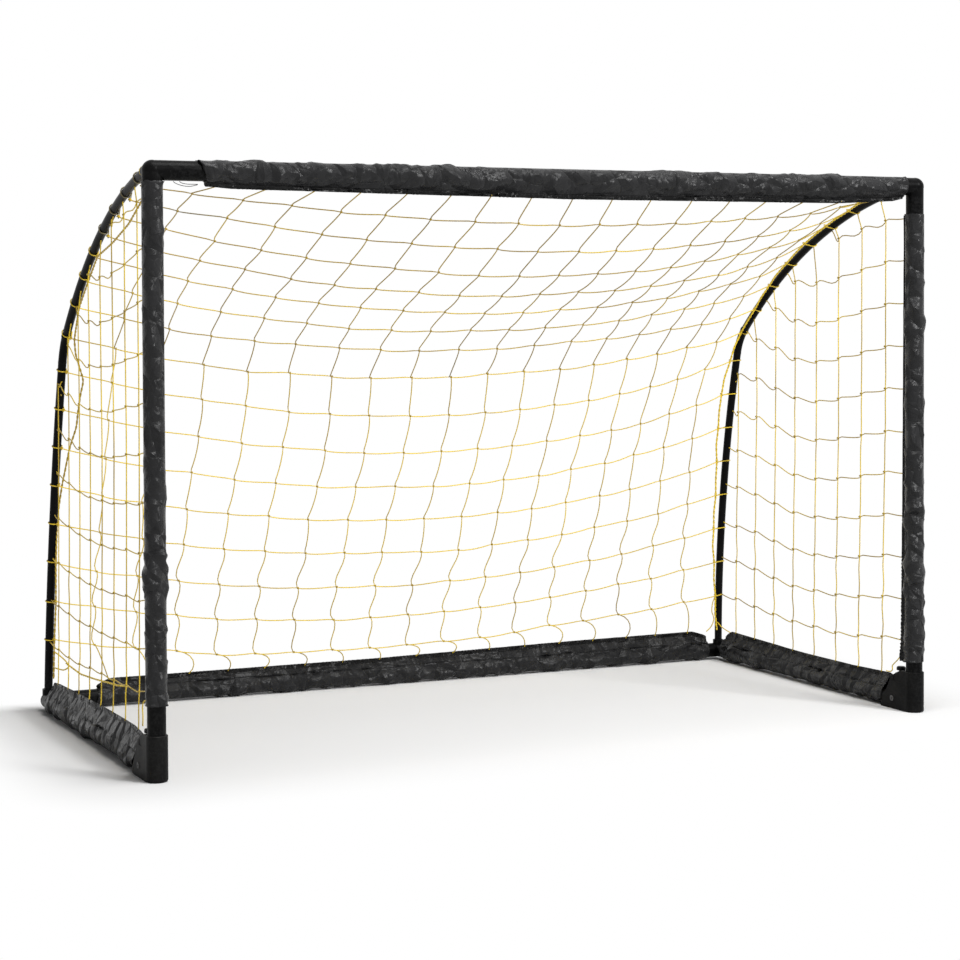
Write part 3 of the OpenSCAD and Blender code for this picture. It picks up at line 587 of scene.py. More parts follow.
clothWays = dict(step=4.4, thick=0.5, rounds=360, keepSpeed=0.93, hemHold=0.25, hemGap=0.7, hemDraw=0.93,
                 clear=0.9, drawIn=0.4, bend=0.14, uneven=0.02, rumple=2.2, skew=0.05, endRough=0.6,
                 endReach=14, facet=31.0, press=3.2, smoothings=14)
sideWays = dict(clothWays, body="base", tube=18.0, s=(0, 1, 0), a=(1, 0, 0), b=(0, 0, -1), length=728.5,
                most=25.5, floor=23.5, splitAt=44.0, gravity=(0, 0, 0.004), endTilt=(-26, 0))
sleeves = dict(
    crossbar=dict(clothWays, name="crossbar_cloth", node="crossbar_sleeve", body="front_frame",
        on="left_crossbar", seed=11, tube=20.0, start=(-803.5, -440.5, 1199),
        s=(1, 0, 0), a=(0, 1, 0), b=(0, 0, 1), length=1665, most=27.5,
        hemLine=[(0, 28), (60, 33), (830, 42), (1500, 40), (1635, 33), (1665, 26)],
        slack=[(0, 0.10), (560, 0.10), (700, 0.035), (980, 0.035), (1120, 0.09), (1665, 0.10)],
        girth=[(0, 0.09), (620, 0.09), (740, 0.04), (950, 0.04), (1080, 0.08), (1665, 0.09)],
        gravity=(0, 0, -0.004), endTilt=(20, 0)),
    leftPost=dict(clothWays, name="left_post_cloth", node="left_post_sleeve", body="front_frame",
        on="left_upper_post", seed=23, tube=20.0, start=(-894.5, -440.5, 150),
        s=(0, 0, 1), a=(0.94, -0.34, 0), b=(-0.34, -0.94, 0), length=1028, most=27,
        hemLine=[(0, 31), (300, 27), (1028, 27)],
        slack=[(0, 0.12), (500, 0.10), (800, 0.06), (1028, 0.07)],
        girth=[(0, 0.10), (1028, 0.06)], gravity=(-0.006, 0, 0)),
    rightPost=dict(clothWays, name="right_post_cloth", node="right_post_sleeve", body="front_frame",
        on="right_upper_post", seed=37, tube=20.0, start=(894.5, -440.5, 115),
        s=(0, 0, 1), a=(0.94, 0.34, 0), b=(0.34, -0.94, 0), length=1022, most=29,
        hemLine=[(0, 41), (60, 36), (400, 32), (1022, 28)],
        slack=[(0, 0.12), (600, 0.10), (1022, 0.09)],
        girth=[(0, 0.14), (1022, 0.09)], gravity=(-0.006, 0, 0)),
    leftSide=dict(sideWays, name="left_side_cloth", node="left_side_sleeve", on="left_side_bar", seed=41,
        start=(-894.5, -328.5, 24),
        hemLine=[(0, 54), (60, 62), (300, 62), (650, 54), (705, 50), (728.5, 34)],
        slack=[(0, 0.09), (728.5, 0.08)], girth=[(0, 0.08), (728.5, 0.07)]),
    rightSide=dict(sideWays, name="right_side_cloth", node="right_side_sleeve", on="right_side_bar", seed=53,
        start=(894.5, -328.5, 24), hemLine=[(0, 52), (150, 48), (370, 48), (690, 56), (728.5, 36)],
        slack=[(0, 0.07), (728.5, 0.06)], girth=[(0, 0.07), (728.5, 0.06)]),
    back=dict(sideWays, name="back_cloth", node="back_sleeve", on="left_back_bar", seed=67,
        start=(-787.5, 440, 24), s=(1, 0, 0), a=(0, 1, 0), length=1644,
        hemLine=[(0, 24), (35, 41), (700, 42), (1250, 50), (1600, 52), (1644, 38)],
        slack=[(0, 0.10), (1644, 0.08)], girth=[(0, 0.08), (1644, 0.08)], endTilt=(10, 0)),
)
relaxed = {}
for key, c in sleeves.items():
    pieces, relaxed[key] = buildSleeve(c)
    for piece, cut in pieces:
        dressSleeve(piece, c, piece.name.endswith("flap"))
        print("sleeve", piece.name, "cut", cut)


# The rear poles' line, in mm, with the net's edge beside it

pole = dict(top=(-417.2, 1202.8), joint=(285.605, 870.0), slopeTop=8.0, slopeJoint=42.678, upperR=1304.62,
            bendR=130.0, lowerR=3278.69, leanTop=15.5, foot=(440.0, 47.4), bow=1.7, upperL=789.6, bendL=72.2,
            length=1634.3, across=19.0, x=894.5)


def arcPoint(p, h0, r, h):
    h0, h = math.radians(h0), math.radians(h)
    return p[0] + r * (math.sin(h) - math.sin(h0)), p[1] + r * (math.cos(h) - math.cos(h0))


def poleHeading(s):
    c = pole
    if s < c["upperL"]:
        return c["slopeTop"] + math.degrees(s / c["upperR"])
    s -= c["upperL"]
    if s < c["bendL"]:
        return c["slopeJoint"] + math.degrees(s / c["bendR"])
    return 90 - c["leanTop"] + math.degrees((s - c["bendL"]) / c["lowerR"])


def polePoint(s):
    c, h = pole, poleHeading(s)
    if s < c["upperL"]:
        return arcPoint(c["top"], c["slopeTop"], c["upperR"], h)
    if s < c["upperL"] + c["bendL"]:
        return arcPoint(c["joint"], c["slopeJoint"], c["bendR"], h)
    bendEnd = arcPoint(c["joint"], c["slopeJoint"], c["bendR"], 90 - c["leanTop"])
    return arcPoint(bendEnd, 90 - c["leanTop"], c["lowerR"], h)


def besidePole(s, gap):
    h = math.radians(poleHeading(s))
    y, z = polePoint(s)
    return y - gap * math.sin(h), z - gap * math.cos(h)


def poleBow(y, z):
    # how far the pole's bow carries it in from its own flat plane
    ty, tz = pole["top"]
    fy, fz = pole["foot"]
    ly, lz = fy - ty, fz - tz
    return abs(ly * (z - tz) - lz * (y - ty)) / math.hypot(ly, lz) * math.sin(math.radians(pole["bow"]))


def onPole(side, s, gap=0):
    y, z = besidePole(s, gap)
    return np.array([side * (pole["x"] - poleBow(y, z)), y, z])


def alongPole(distance):
    # the place down the pole where a distance is least
    return min(np.linspace(0, pole["length"], 400), key=distance)


# Rows of the roof and back net from the crossbar (0) to the back bar (17): how far the middle hangs
# back and down from the line between the poles, in mm
net = dict(
    sagY=[-21, -31, -46, -58, -63, -62, -59, -53, -56, -72, -82, -89, -91, -86, -68, -42, -16, 16],
    sagZ=[-35, -63, -94, -116, -122, -114, -105, -92, -95, -116, -117, -112, -103, -96, -88, -79, -70, -17],
    shiftX=[73, 50, 32, 25, 20, 14, 18, 23, 30, 42, 36, 18, 1, -5, -12, -13, -4, 39],
    tiltY=[-26, -29, -32, -36, -44, -53, -59, -63, -49, -33, -22, -19, -20, -18, -14, -8, -1, 0],
    tiltZ=[9, -1, -3, 0, 3, 8, 17, 25, 23, 15, 11, 9, 7, 9, 11, 15, 19, 6],
    rightGap=[68, 31, 20, 21, 22, 18, 14, 7, 6, 24, 38, 37, 32, 28, 28, 22, 16, 10],
    hemX=[-761, -654, -552, -453, -352, -254, -164, -70, 26, 121, 215, 316, 411, 505, 603, 699, 795],
    footX=[-752, -655, -557, -460, -368, -265, -167, -69, 28, 128, 228, 327, 424, 521, 617, 704, 800],
    columnKink=(2.3, 0, 0), rowKink=(0, 0, -1.1), unevenKnots=(1.6, 1.2, 1.6), mesh=97.0, cord=1.3, seam=1.5,
    edge=15, length=1602.0, seed=5)


def rowEnds(j):
    rise = 16 * min(1, max(0, (9 - j) / 2)) if j < 9 else 0
    roof, back = pole["upperL"], net["length"] - pole["upperL"]
    s = j * roof / 8 if j <= 8 else roof + (j - 8) * back / 9
    left, right = besidePole(max(s - rise, -20), net["edge"]), besidePole(s + rise, net["edge"])
    return (np.array([-891 + poleBow(*left), *left]),
            np.array([891 - poleBow(*right) - net["rightGap"][j], *right]))


def hemAt(key, along):
    return np.interp(along, *zip(*sleeves[key]["hemLine"]))


def netKnot(i, j):
    left, right = rowEnds(j)
    u = -1 + i / 9
    p = left + (right - left) * i / 18
    p += (1 - u * u) * np.array([net["shiftX"][j], net["sagY"][j] + u * net["tiltY"][j],
                                 net["sagZ"][j] + u * net["tiltZ"][j]])
    if 0 < i < 18 and j == 0:
        x = net["hemX"][i - 1]
        p[:] = x, -438.5, 1199 - hemAt("crossbar", x + 803.5) + 3
    if 0 < i < 18 and j == 17:
        x = net["footX"][i - 1]
        p[:] = x, 439, 24 + hemAt("back", x + 787.5) - 3
    return p


# side panels: knots as (y, z) by row from the top, columns from the post back
sideNet = dict(
    columns=[-328, -231, -134, -38, 58, 148, 240, 332],
    right=[[1126, 1110, 1090], [1030, 1013, 996, 986, 990], [932, 916, 898, 888, 894, 924],
           [834, 818, 803, 793, 799, 825, 845], [736, 721, 706, 696, 702, 724, 746, 753],
           [637, 623, 611, 602, 606, 628, 647, 655], [542, 526, 514, 507, 511, 530, 547, 556],
           [444, 429, 419, 414, 417, 433, 449, 461], [348, 335, 325, 321, 325, 338, 353, 359],
           [251, 240, 233, 233, 233, 244, 257, 267], [156, 146, 141, 144, 145, 152, 160, 170]],
    left=[[1142, 1120, 1103], [1043, 1019, 1003, 996, 1003], [941, 924, 910, 901, 903, 915],
          [837, 825, 813, 807, 808, 818, 848], [736, 730, 717, 713, 713, 721, 740, 760],
          [637, 632, 621, 617, 618, 625, 640, 655], [537, 533, 524, 523, 523, 528, 541, 555],
          [438, 437, 430, 428, 430, 434, 444, 454], [341, 342, 336, 333, 334, 338, 342, 353],
          [244, 245, 242, 240, 243, 242, 248, 254], [158, 157, 154, 153, 152, 147, 149, 154]],
    columnKink=(0, -1.0, 0), rowKink=dict(left=(0, 0, -1.2), right=(0, 0, -3.4)), drift=16, bulge=7,
    besidePole=10.5, behindPost=24)


def newCords():
    # a cord's points, each with a thickness, a painted shade for the yarn, a knot size and the way its knot
    # lies
    return dict(verts=[], edges=[], thick=[], tone=[], knot=[], lay=[])


def addCord(store, pts, thick, tone):
    first, n = len(store["verts"]), len(pts)
    store["verts"] += [tuple(p) for p in pts]
    store["edges"] += [(first + k, first + k + 1) for k in range(n - 1)]
    store["thick"] += [thick] * n
    store["tone"] += list(np.broadcast_to(tone, n))
    store["knot"] += [0.0] * n
    store["lay"] += [(0, 0, 1)] * n


def addKnot(store, p, lay, tone, size=1.0):
    for key, value in dict(verts=tuple(p), thick=1.0, tone=tone, knot=size, lay=tuple(lay)).items():
        store[key].append(value)


def slackSpan(a, b, lead, flat, way, steps=6):
    # cord of its own flat length between two knots: a bend where there is length to spare
    chord = np.linalg.norm(b - a)
    spare = math.sqrt(max(0, 3 * chord * (flat - chord) / 8)) if chord < flat else 0
    t = np.linspace(0, 1, steps + 1)[:, None]
    h00, h10 = 2 * t ** 3 - 3 * t ** 2 + 1, t ** 3 - 2 * t ** 2 + t
    h01, h11 = -2 * t ** 3 + 3 * t ** 2, t ** 3 - t ** 2
    return h00 * a + h10 * lead + h01 * b + h11 * lead + way(t, min(spare, 0.3 * flat))


def weaveNet(store, knots, kink, flat, way, paintedShades, rng, ends=(False, False)):
    # one strand through its knots: it comes in at one side of each knot and goes out at the other
    line, last, kink = [], len(knots) - 2, np.array(kink)
    for k in range(last + 1):
        a, b = knots[k] + (kink if k or ends[0] else 0), knots[k + 1] - (kink if k < last or ends[1] else 0)
        lead = (b - a) * 0.75 + kink * 2.5
        span = slackSpan(a, b, lead, flat, lambda t, spare: way(t, spare, k, rng))
        line += list(span if k == last else span[:-1])
        if k < last:
            line.append(knots[k + 1].astype(float))
    tone = np.interp(np.linspace(0, last + 1, len(line)), np.arange(len(paintedShades)), paintedShades)
    addCord(store, line, net["cord"], tone)


wrapping = dict(wire={"Resolution": 4, "Radius": 0.0011},
                coil={"Resolution": 7, "Rotations": 1.9, "Height": 0.0042,
                      "Start Radius": 0.0019, "End Radius": 0.0017})


def nettingTree():
    # cords from edges, with a wrapped knot at each marked point
    tree = bpy.data.node_groups.new("netting", "GeometryNodeTree")
    tree.interface.new_socket(name="Geometry", in_out="INPUT", socket_type="NodeSocketGeometry")
    sides = tree.interface.new_socket(name="Cord Sides", in_out="INPUT", socket_type="NodeSocketInt")
    yarn = tree.interface.new_socket(name="Yarn", in_out="INPUT", socket_type="NodeSocketMaterial")
    tree.interface.new_socket(name="Geometry", in_out="OUTPUT", socket_type="NodeSocketGeometry")
    given = addNode(tree, "NodeGroupInput").outputs

    def add(kind, sockets=None, output=0, **settings):
        return addNode(tree, "GeometryNode" + kind, sockets, **settings).outputs[output]

    def named(kind, label):
        return add("InputNamedAttribute", {0: label}, data_type=kind)

    def keep(geometry, kind, label, value):
        return add("StoreNamedAttribute", {0: geometry, "Name": label, "Value": value}, data_type=kind)

    curve = add("MeshToCurve", {0: given["Geometry"]})
    cords = keep(curve, "FLOAT", "along", add("SplineParameter", output="Length"))
    ring = add("CurvePrimitiveCircle", {"Resolution": given["Cord Sides"], "Radius": 1.0})
    profile = keep(ring, "FLOAT_VECTOR", "swirl", add("InputPosition"))
    tube = add("CurveToMesh", {"Curve": cords, "Profile Curve": profile, "Fill Caps": True,
                               "Scale": named("FLOAT", "thick")})
    wrap = add("CurveToMesh", {"Curve": add("CurveSpiral", wrapping["coil"]), "Fill Caps": True,
                               "Profile Curve": add("CurvePrimitiveCircle", wrapping["wire"])})
    size = named("FLOAT", "knot")
    marked = addNode(tree, "FunctionNodeCompare", {0: size, 1: 0.01}, operation="GREATER_THAN")
    lay = {"Vector": named("FLOAT_VECTOR", "lay")}
    turn = addNode(tree, "FunctionNodeAlignRotationToVector", lay, axis="Z")
    put = add("InstanceOnPoints", {"Points": given["Geometry"], "Selection": marked.outputs[0],
                                   "Instance": wrap, "Rotation": turn.outputs[0], "Scale": size})
    both = addNode(tree, "GeometryNodeJoinGeometry")
    for part in (tube, put):
        tree.links.new(part, both.inputs[0])
    smooth = add("SetShadeSmooth", {0: add("RealizeInstances", {0: both.outputs[0]})})
    addNode(tree, "NodeGroupOutput", {0: add("SetMaterial", {0: smooth, "Material": given["Yarn"]})})
    return tree, sides.identifier, yarn.identifier


netting = nettingTree()


def makeNetting(name, store, material="net_yarn", ringSides=7):
    data = bpy.data.meshes.new(name)
    data.from_pydata([[x * mm for x in v] for v in store["verts"]], store["edges"], [])
    setAttribute(data, "thick", np.array(store["thick"]) * mm)
    for label in ("tone", "knot", "lay"):
        setAttribute(data, label, store[label])
    obj = addObject(name, data)
    tree, sides, yarn = netting
    cords = obj.modifiers.new("netting", "NODES")
    cords.node_group = tree
    cords[sides] = ringSides
    cords[yarn] = materials[material]
    settle(obj)
    print(name, len(obj.data.polygons), "faces")
    return obj


def bow(t, *most):
    # one bend between two knots
    return 4 * t * (1 - t) * np.array(most)


def wave(t, *most):
    # a bend to one side and then to the other
    return np.sin(2 * math.pi * t) * np.array(most)


def hangsDown(t, spare, k, rng):
    x, y, _ = rng.normal(size=3) * 1.2
    return bow(t, x, y, -0.16 * spare - 0.8)


def columnWay(low, curl):
    # up and down strands hang in above, wave near the ground and curl at the back bar
    def way(t, spare, k, rng):
        if low + k >= 16:
            return bow(t, min(spare, 24) * curl, -3, 4)
        if low + k >= 13:
            return wave(t, min(spare, 9) * 0.2 + 1.2, 0, 0) + bow(t, -2.0 * rng.normal(), 0, 0)
        return bow(t, rng.normal() * 1.0, -0.2 * spare, -0.4 * spare)
    return way


def buildRoofAndBack():
    rng = np.random.default_rng(net["seed"])
    knots = np.array([[netKnot(i, j) for i in range(19)] for j in range(18)])
    for j in range(9):
        # the roof's right edge lies on the upper side of its pole
        h = math.radians(poleHeading(j * pole["upperL"] / 8))
        knots[j, 18] += (0, 11 * math.sin(h), 11 * math.cos(h))
    knots[1:17, 1:18] += rng.normal(size=(16, 17, 3)) * net["unevenKnots"]
    roof, back = newCords(), newCords()
    for i in range(1, 18):
        # painted shade: the roof's columns, seen from below, are painted darker than the back's, varied at
        # random, and every third column a little darker still
        for store, j0, j1, dull in ((roof, 0, 8, 0.5), (back, 8, 17, 0.2)):
            way = columnWay(j0, rng.uniform(0.35, 1))
            paintedShades = np.clip(dull + rng.normal(size=j1 - j0 + 1) * 0.13 + (0.1 if i % 3 == 0 else 0), 0, 1)
            weaveNet(store, knots[j0:j1 + 1, i], net["columnKink"], net["mesh"], way, paintedShades, rng,
                     (j0 > 0, j1 < 17))
    for j in range(1, 17):
        store, row = roof if j <= 8 else back, knots[j]
        # painted shade: roof rows darker towards the crossbar and towards the left end, back rows nearly in
        # full light, all varied at random; the knots in middling shade
        dull = 0.42 - 0.035 * j if j <= 8 else 0.03
        paintedShades = np.clip(dull + 0.25 * np.linspace(1, 0, 19) * (j < 8) + rng.normal(size=19) * 0.16, 0, 1)
        weaveNet(store, row, net["rowKink"], net["mesh"] + 3, hangsDown, paintedShades, rng)
        for i in range(1, 18):
            lay = row[i + 1] - row[i - 1]
            addKnot(store, row[i], lay / np.linalg.norm(lay), 0.45 + rng.uniform(-0.1, 0.2))
    return roof, back, knots


def sidePanel(side):
    rng = np.random.default_rng(net["seed"] + (3 if side < 0 else 4))
    c, store = sideNet, newCords()
    word = "left" if side < 0 else "right"

    def at(k, j, z):
        # lower rows drift back a little, and the panel bellies out between post and pole
        y = c["columns"][k] + c["drift"] * max(0, (j - 5) / 6)
        belly = side * c["bulge"] * math.sin(math.pi * (k + 1) / 10) * math.sin(math.pi * (j + 1) / 13)
        return np.array([side * 893.5 - belly * 0.4, y, z])

    def columnWave(t, spare, k, rng):
        size = 0.8 + (2.2 if k >= low - 2 else 0)
        return wave(t, 0, size * (0.4 + rng.uniform(0, 1)), 0) + bow(t, 0, rng.normal() * 0.9, 0)

    def rowSag(t, spare, k, rng):
        if j < 6 and k >= len(row) - 4:
            return wave(t, 0, 0, -3.5) + bow(t, 0, 0, -5.0)
        return bow(t, 0, 0, -0.12 * min(spare, 12) - 1.0)

    grid = [[at(k, j, z) for k, z in enumerate(row)] for j, row in enumerate(c[word])]
    for k in range(8):
        column = [g[k] for g in grid if len(g) > k]
        low = len(column)
        y = c["columns"][k] + (0 if k > 4 else 18 - 4 * k)
        s = alongPole(lambda q: abs(besidePole(q, c["besidePole"])[0] - y))
        start, y = onPole(side, s, c["besidePole"]), column[-1][1] + 4
        foot = np.array([side * 894.5, y, 24 + hemAt(word + "Side", y + 328.5) - 3])
        # painted shade for the side columns, varied at random
        paintedShades = np.clip(0.26 + rng.normal(size=low + 2) * 0.16, 0, 1)
        weaveNet(store, [start] + column + [foot], c["columnKink"], net["mesh"], columnWave, paintedShades, rng)
    for j, g in enumerate(grid):
        z = g[-1][2] + (6 if len(g) == 8 else 28)
        s = alongPole(lambda q: abs(polePoint(q)[1] - z))
        front = np.array([side * 893.0, -440.5 + c["behindPost"], g[0][2] + (4 if side > 0 else 18)])
        row = [front] + g + [onPole(side, s, c["besidePole"])]
        # painted shade for the side rows, varied at random; the knots in middling shade
        paintedShades = np.clip(0.36 + rng.normal(size=len(row)) * 0.15, 0, 1)
        weaveNet(store, row, c["rowKink"][word], net["mesh"] + 1, rowSag, paintedShades, rng)
        for p in g:
            addKnot(store, p, (0, 1, 0.15), 0.45 + rng.uniform(-0.1, 0.2))
    return store


def lengthOf(pts):
    return lengths(np.diff(np.array(pts), axis=0)).sum()


def twine(pts, turns, spread, steps):
    # two strands laid round each other along a line of points
    pts = np.array(pts, float)
    run = np.concatenate([[0], np.cumsum(lengths(np.diff(pts, axis=0)))])
    t = np.linspace(0, run[-1], steps)
    line = np.stack([np.interp(t, run, pts[:, k]) for k in range(3)], -1)
    for _ in range(2):
        line[1:-1] = (line[:-2] + 2 * line[1:-1] + line[2:]) / 4
    ahead = np.gradient(line, axis=0)
    ahead /= lengths(ahead, True)
    side = np.cross(ahead, (0.31, 0.2, 0.93))
    side /= lengths(side, True)
    up = np.cross(side, ahead)
    angle = t / run[-1] * turns * 2 * math.pi
    offset = spread * (np.cos(angle)[:, None] * side + np.sin(angle)[:, None] * up)
    return line + offset, line - offset


def poleLoop(side, s, turns, slant, start):
    # a strand round the pole, as a short stretch of helix on its surface
    centre = onPole(side, s)
    h = math.radians(poleHeading(s))
    ahead = np.array([0, math.cos(h), -math.sin(h)])
    inward = np.array([-side, 0.0, 0])
    up = np.cross(inward, ahead)
    t = np.linspace(0, 1, int(16 * turns) + 2)
    angle = start + t * turns * 2 * math.pi
    r = pole["across"] / 2 + net["cord"] + 0.35
    return [centre + r * (math.cos(a) * inward + math.sin(a) * up) + ahead * (slant * (u - 0.5))
            for a, u in zip(angle, t)]


# where the left seam leaves the pole and hangs free, and the cord that draws its foot forward, in mm
leftSeam = dict(
    high=[(-885, -322, 1138), (-885, -238, 1101), (-885, -118, 1067), (-884, 12, 1040)],
    low=[(-868, 275, 860), (-862, 288, 826), (-838, 312, 767), (-843, 322, 735), (-846, 335, 693),
         (-848, 342, 660), (-860, 358, 613), (-872, 385, 524), (-879, 402, 452)],
    foot=[(-882, 320, 125), (-880, 200, 118), (-878, 80, 124), (-880, -25, 133), (-884, -120, 141),
          (-889, -220, 155)])


def buildLacing(side, knots):
    # the seam down each pole with the loops that hold it
    left, cord = side < 0, net["cord"]
    rng = np.random.default_rng(net["seed"] + (7 if left else 8))
    store = newCords()
    edge = knots[:, 0 if left else 18]
    if left:
        seam = [edge[j] + np.array([3.0, -3, -2]) * (1 + 0.3 * rng.normal()) for j in range(18)]
        line = [seam[0]] + leftSeam["high"] + seam[5:8] + leftSeam["low"] + seam[14:]
    else:
        seam, line = list(edge), []
        for j in range(17):
            line += [seam[j], (seam[j] + seam[j + 1]) / 2 + np.array([-5.0, 0, -1]) * rng.uniform(0.3, 1)]
        line.append(seam[17])
    run = lengthOf(line)
    # painted shade: the left seam and its foot cord are painted darker than the right seam
    for strand in twine(line, run / 26.0, net["seam"] * 0.8, int(run / 6)):
        addCord(store, strand, cord * (1.05 if left else 1.2), 0.45 if left else 0.0)
    for j in range(1, 17):
        s = alongPole(lambda q: np.linalg.norm(onPole(side, q) - seam[j]))
        if left:
            wrap = poleLoop(side, s, 1.15, 9.0 if j < 9 else 5.0, rng.uniform(-0.4, 0.4))
        else:
            wrap = poleLoop(side, s, 0.5, 4.0, 0.5 * math.pi)
        # painted shade: the upper left loops in deep shade, the other loops and the knots lightly shaded
        tone = 0.95 if left and j < 5 else 0.05 + rng.uniform(0, 0.25)
        addCord(store, [seam[j]] + wrap + [seam[j] + np.array([0, 2.0, -2])], cord, tone)
        addKnot(store, seam[j], (0, 0.3, 0.95), 0.3, 1.3)
    if left:
        addCord(store, poleLoop(side, 22, 3.4, 11.0, 0.6), cord * 1.15, 0.05)
        for strand in twine(leftSeam["foot"], 16, 1.0, 90):
            addCord(store, strand, cord, 0.15)
    return store


# tie ends left hanging where the net is fastened, in mm, each with a painted shade for its yarn
looseEnds = [
    dict(name="right_flap_tie", thick=1.3, tone=0.0, far="object",
         points=[(893, -384, 116), (894, -374, 108), (895, -363, 101), (894, -355, 93), (893, -357, 85),
                 (894, -348, 79), (894.5, -330, 78)]),
    dict(name="right_pole_tie", thick=1.3, tone=0.1, far="object",
         points=[(884, 437, 166), (877, 438, 150), (874, 438, 127), (880, 438, 107), (873, 439, 87),
                 (858, 439, 74)]),
    dict(name="right_corner_tie", thick=1.3, tone=0.1, far="object",
         points=[(887, 432, 98), (887, 412, 89), (890, 394, 82), (893, 376, 77)]),
    dict(name="left_pole_tie", thick=1.6, tone=0.1, far="knot",
         points=[(-884, 425, 138), (-880, 392, 134), (-874, 352, 124), (-876, 324, 117), (-882, 340, 108),
                 (-884, 378, 104), (-885, 414, 102)]),
    dict(name="left_post_tie", thick=1.3, tone=0.1, far="bare",
         points=[(-880, -418, 152), (-877, -390, 147), (-878, -345, 141), (-879, -304, 137),
                 (-880, -292, 124), (-880, -294, 104), (-880, -292, 84)]),
    dict(name="crossbar_end_string", thick=0.7, tone=0.5, far="object", material="seam_thread",
         points=[(-851, -438, 1178), (-845, -438, 1174), (-832, -438, 1170), (-817, -438, 1169),
                 (-802, -439, 1172)]),
    dict(name="crossbar_end_loop", thick=0.7, tone=0.5, far="object", material="seam_thread",
         points=[(-840, -443, 1178), (-835, -443, 1175), (-824, -443, 1173), (-812, -442, 1173),
                 (-802, -442, 1173)]),
]


def smoothLine(points, steps):
    # an even curve through given points
    pts = np.array(points, float)
    longer = np.vstack([2 * pts[0] - pts[1], pts, 2 * pts[-1] - pts[-2]])
    line = []
    for k in range(len(pts) - 1):
        p0, p1, p2, p3 = longer[k:k + 4]
        for t in np.linspace(0, 1, steps, endpoint=False):
            line.append(0.5 * (2 * p1 + (p2 - p0) * t + (2 * p0 - 5 * p1 + 4 * p2 - p3) * t * t
                               + (3 * p1 - p0 - 3 * p2 + p3) * t ** 3))
    return np.array(line + [pts[-1]])


stitch = dict(lift=0.2, thick=0.36, tone=0.5, holes=(0.14, 0.5, 0.86))


def stitchRows(c, p):
    # one stitch to each step of the hem, on both of its faces
    store = newCords()
    for near, far, facing in ((1, 2, -2), (-2, -3, 1)):
        off = p[:, near] - p[:, facing]
        off /= lengths(off, True) + 1e-9
        line = inPlace(c, p[:, near] * 0.6 + p[:, far] * 0.4 + off * stitch["lift"])
        for k in range(2, len(line) - 3):
            gap = line[k + 1] - line[k]
            addCord(store, [line[k] + gap * t for t in stitch["holes"]], stitch["thick"], stitch["tone"])
    return store


# the net's pieces with the part that each stands for, and a label, middle or side, that nothing here reads
roof, back, knots = buildRoofAndBack()
netParts = [("roof_netting", roof, "roof_net", "middle"), ("back_netting", back, "back_net", "middle")]
for side, word in ((-1, "left"), (1, "right")):
    netParts += [(word + "_side_netting", sidePanel(side), word + "_side_net", "side"),
                 (word + "_lacing", buildLacing(side, knots), None, "side")]
for name, store, node, fold in netParts:
    piece = makeNetting(name, store)
    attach(piece, "front_frame")
    if node:
        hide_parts(node)
    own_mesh(piece)
for c in looseEnds:
    line, store, material = smoothLine(c["points"], 6), newCords(), c.get("material", "net_yarn")
    addCord(store, line, c["thick"], c["tone"])
    piece = makeNetting(c["name"], store, material)
    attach(piece, "front_frame")
    if material == "net_yarn":
        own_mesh(piece)
for key, c in sleeves.items():
    piece = makeNetting(c["name"].replace("cloth", "stitches"), stitchRows(c, relaxed[key]), "seam_thread", 4)
    dressSleeve(piece, c, "splitAt" in c)
print("nets made")


# Floor, lamps and white surround

white = (1, 1, 1, 1)
stage = dict(half=14.0, colour=(0.93, 0.93, 0.93), inside=(0.92, 0.44), fade=0.3, hurry=2.2)
lamps = dict(key=dict(place=(2.4, -4.4, 3.6), aim=(0, 0, 0.6), size=(1.5, 1.1), power=225),
             top=dict(place=(0.3, -1.4, 4.6), aim=(0, 0, 0), size=(2.6, 2.0), power=130),
             fill=dict(place=(-4.0, -2.6, 2.2), aim=(0, 0, 0.6), size=(1.6, 1.6), power=4))


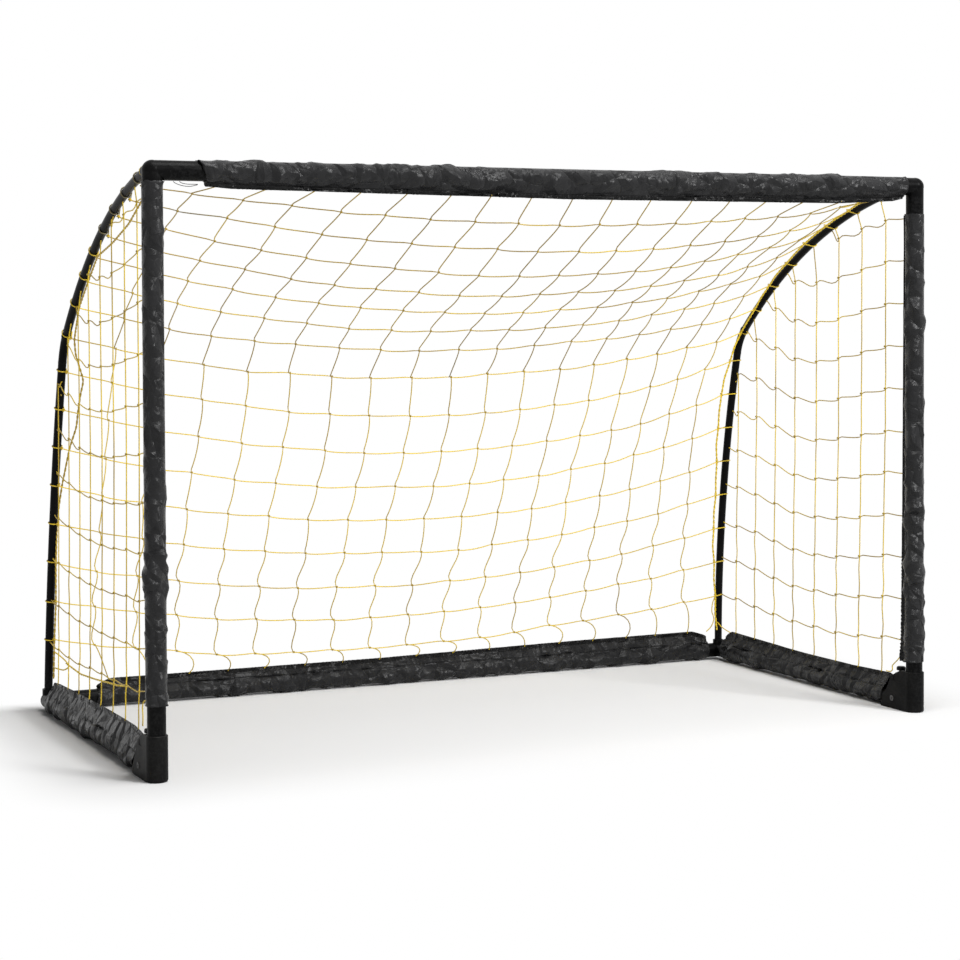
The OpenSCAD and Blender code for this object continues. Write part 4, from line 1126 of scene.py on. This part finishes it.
def makeStage(c):
    # under and beside the goal the paper keeps its shadow, further out it goes over into the white surround
    h = c["half"]
    data = bpy.data.meshes.new("floor")
    data.from_pydata([(-h, -h, 0), (h, -h, 0), (h, h, 0), (-h, h, 0)], [], [(0, 1, 2, 3)])
    mat, tree, body, place = startMaterial("floor paper")
    paper = mixColour(tree, noiseAt(tree, place, 3.0, 2), shade(c["colour"]), shade(c["colour"], 0.99))
    setSockets(tree, body, {"Base Color": paper, "Roughness": 0.75, "Specular IOR Level": 0.1})
    x, y, _ = axes(tree, place)
    ways = (mathNode(tree, "ABSOLUTE", x), c["inside"][0]), (-c["inside"][1], y), (y, c["inside"][1])
    across, front, behind = (mathNode(tree, "MAXIMUM", mathNode(tree, "SUBTRACT", *way), 0.0) for way in ways)
    far = mathNode(tree, "MAXIMUM", front, times(tree, behind, c["hurry"]))
    reach = mathNode(tree, "ADD", times(tree, across, across), times(tree, far, far))
    away = ramp(tree, mathNode(tree, "SQRT", reach), 0.0, c["fade"])
    glow = addNode(tree, "ShaderNodeEmission", {0: white})
    mix = addNode(tree, "ShaderNodeMixShader", {0: away, 1: body.outputs[0], 2: glow.outputs[0]})
    tree.links.new(mix.outputs[0], tree.nodes["Material Output"].inputs[0])
    data.materials.append(mat)
    addObject("floor", data)


def makeLamp(name, c):
    data = bpy.data.lights.new(name, "AREA")
    data.shape = "RECTANGLE"
    data.size, data.size_y = c["size"]
    data.energy = c["power"]
    ahead = (Vector(c["aim"]) - Vector(c["place"])).normalized()
    turn = ahead.to_track_quat("-Z", "Y").to_matrix().to_4x4()
    addObject(name, data).matrix_world = Matrix.Translation(c["place"]) @ turn


def makeWorld(diffuse):
    # white where it is seen or mirrored, and dim as a light
    world = bpy.data.worlds.new("studio")
    bpy.context.scene.world = world
    world.use_nodes = True
    tree = world.node_tree
    dim = setSockets(tree, tree.nodes["Background"], {0: white, 1: diffuse})
    bright = addNode(tree, "ShaderNodeBackground", {0: white, 1: 1})
    path = addNode(tree, "ShaderNodeLightPath").outputs
    seen = mathNode(tree, "MAXIMUM", path["Is Camera Ray"], path["Is Glossy Ray"])
    seen = mathNode(tree, "MAXIMUM", seen, path["Is Transmission Ray"])
    mix = addNode(tree, "ShaderNodeMixShader", {0: seen, 1: dim.outputs[0], 2: bright.outputs[0]})
    tree.links.new(mix.outputs[0], tree.nodes["World Output"].inputs[0])


makeStage(stage)
makeWorld(0.08)
for name, c in lamps.items():
    makeLamp(name, c)
bpy.context.scene.view_settings.view_transform = "Standard"
print("stage set")
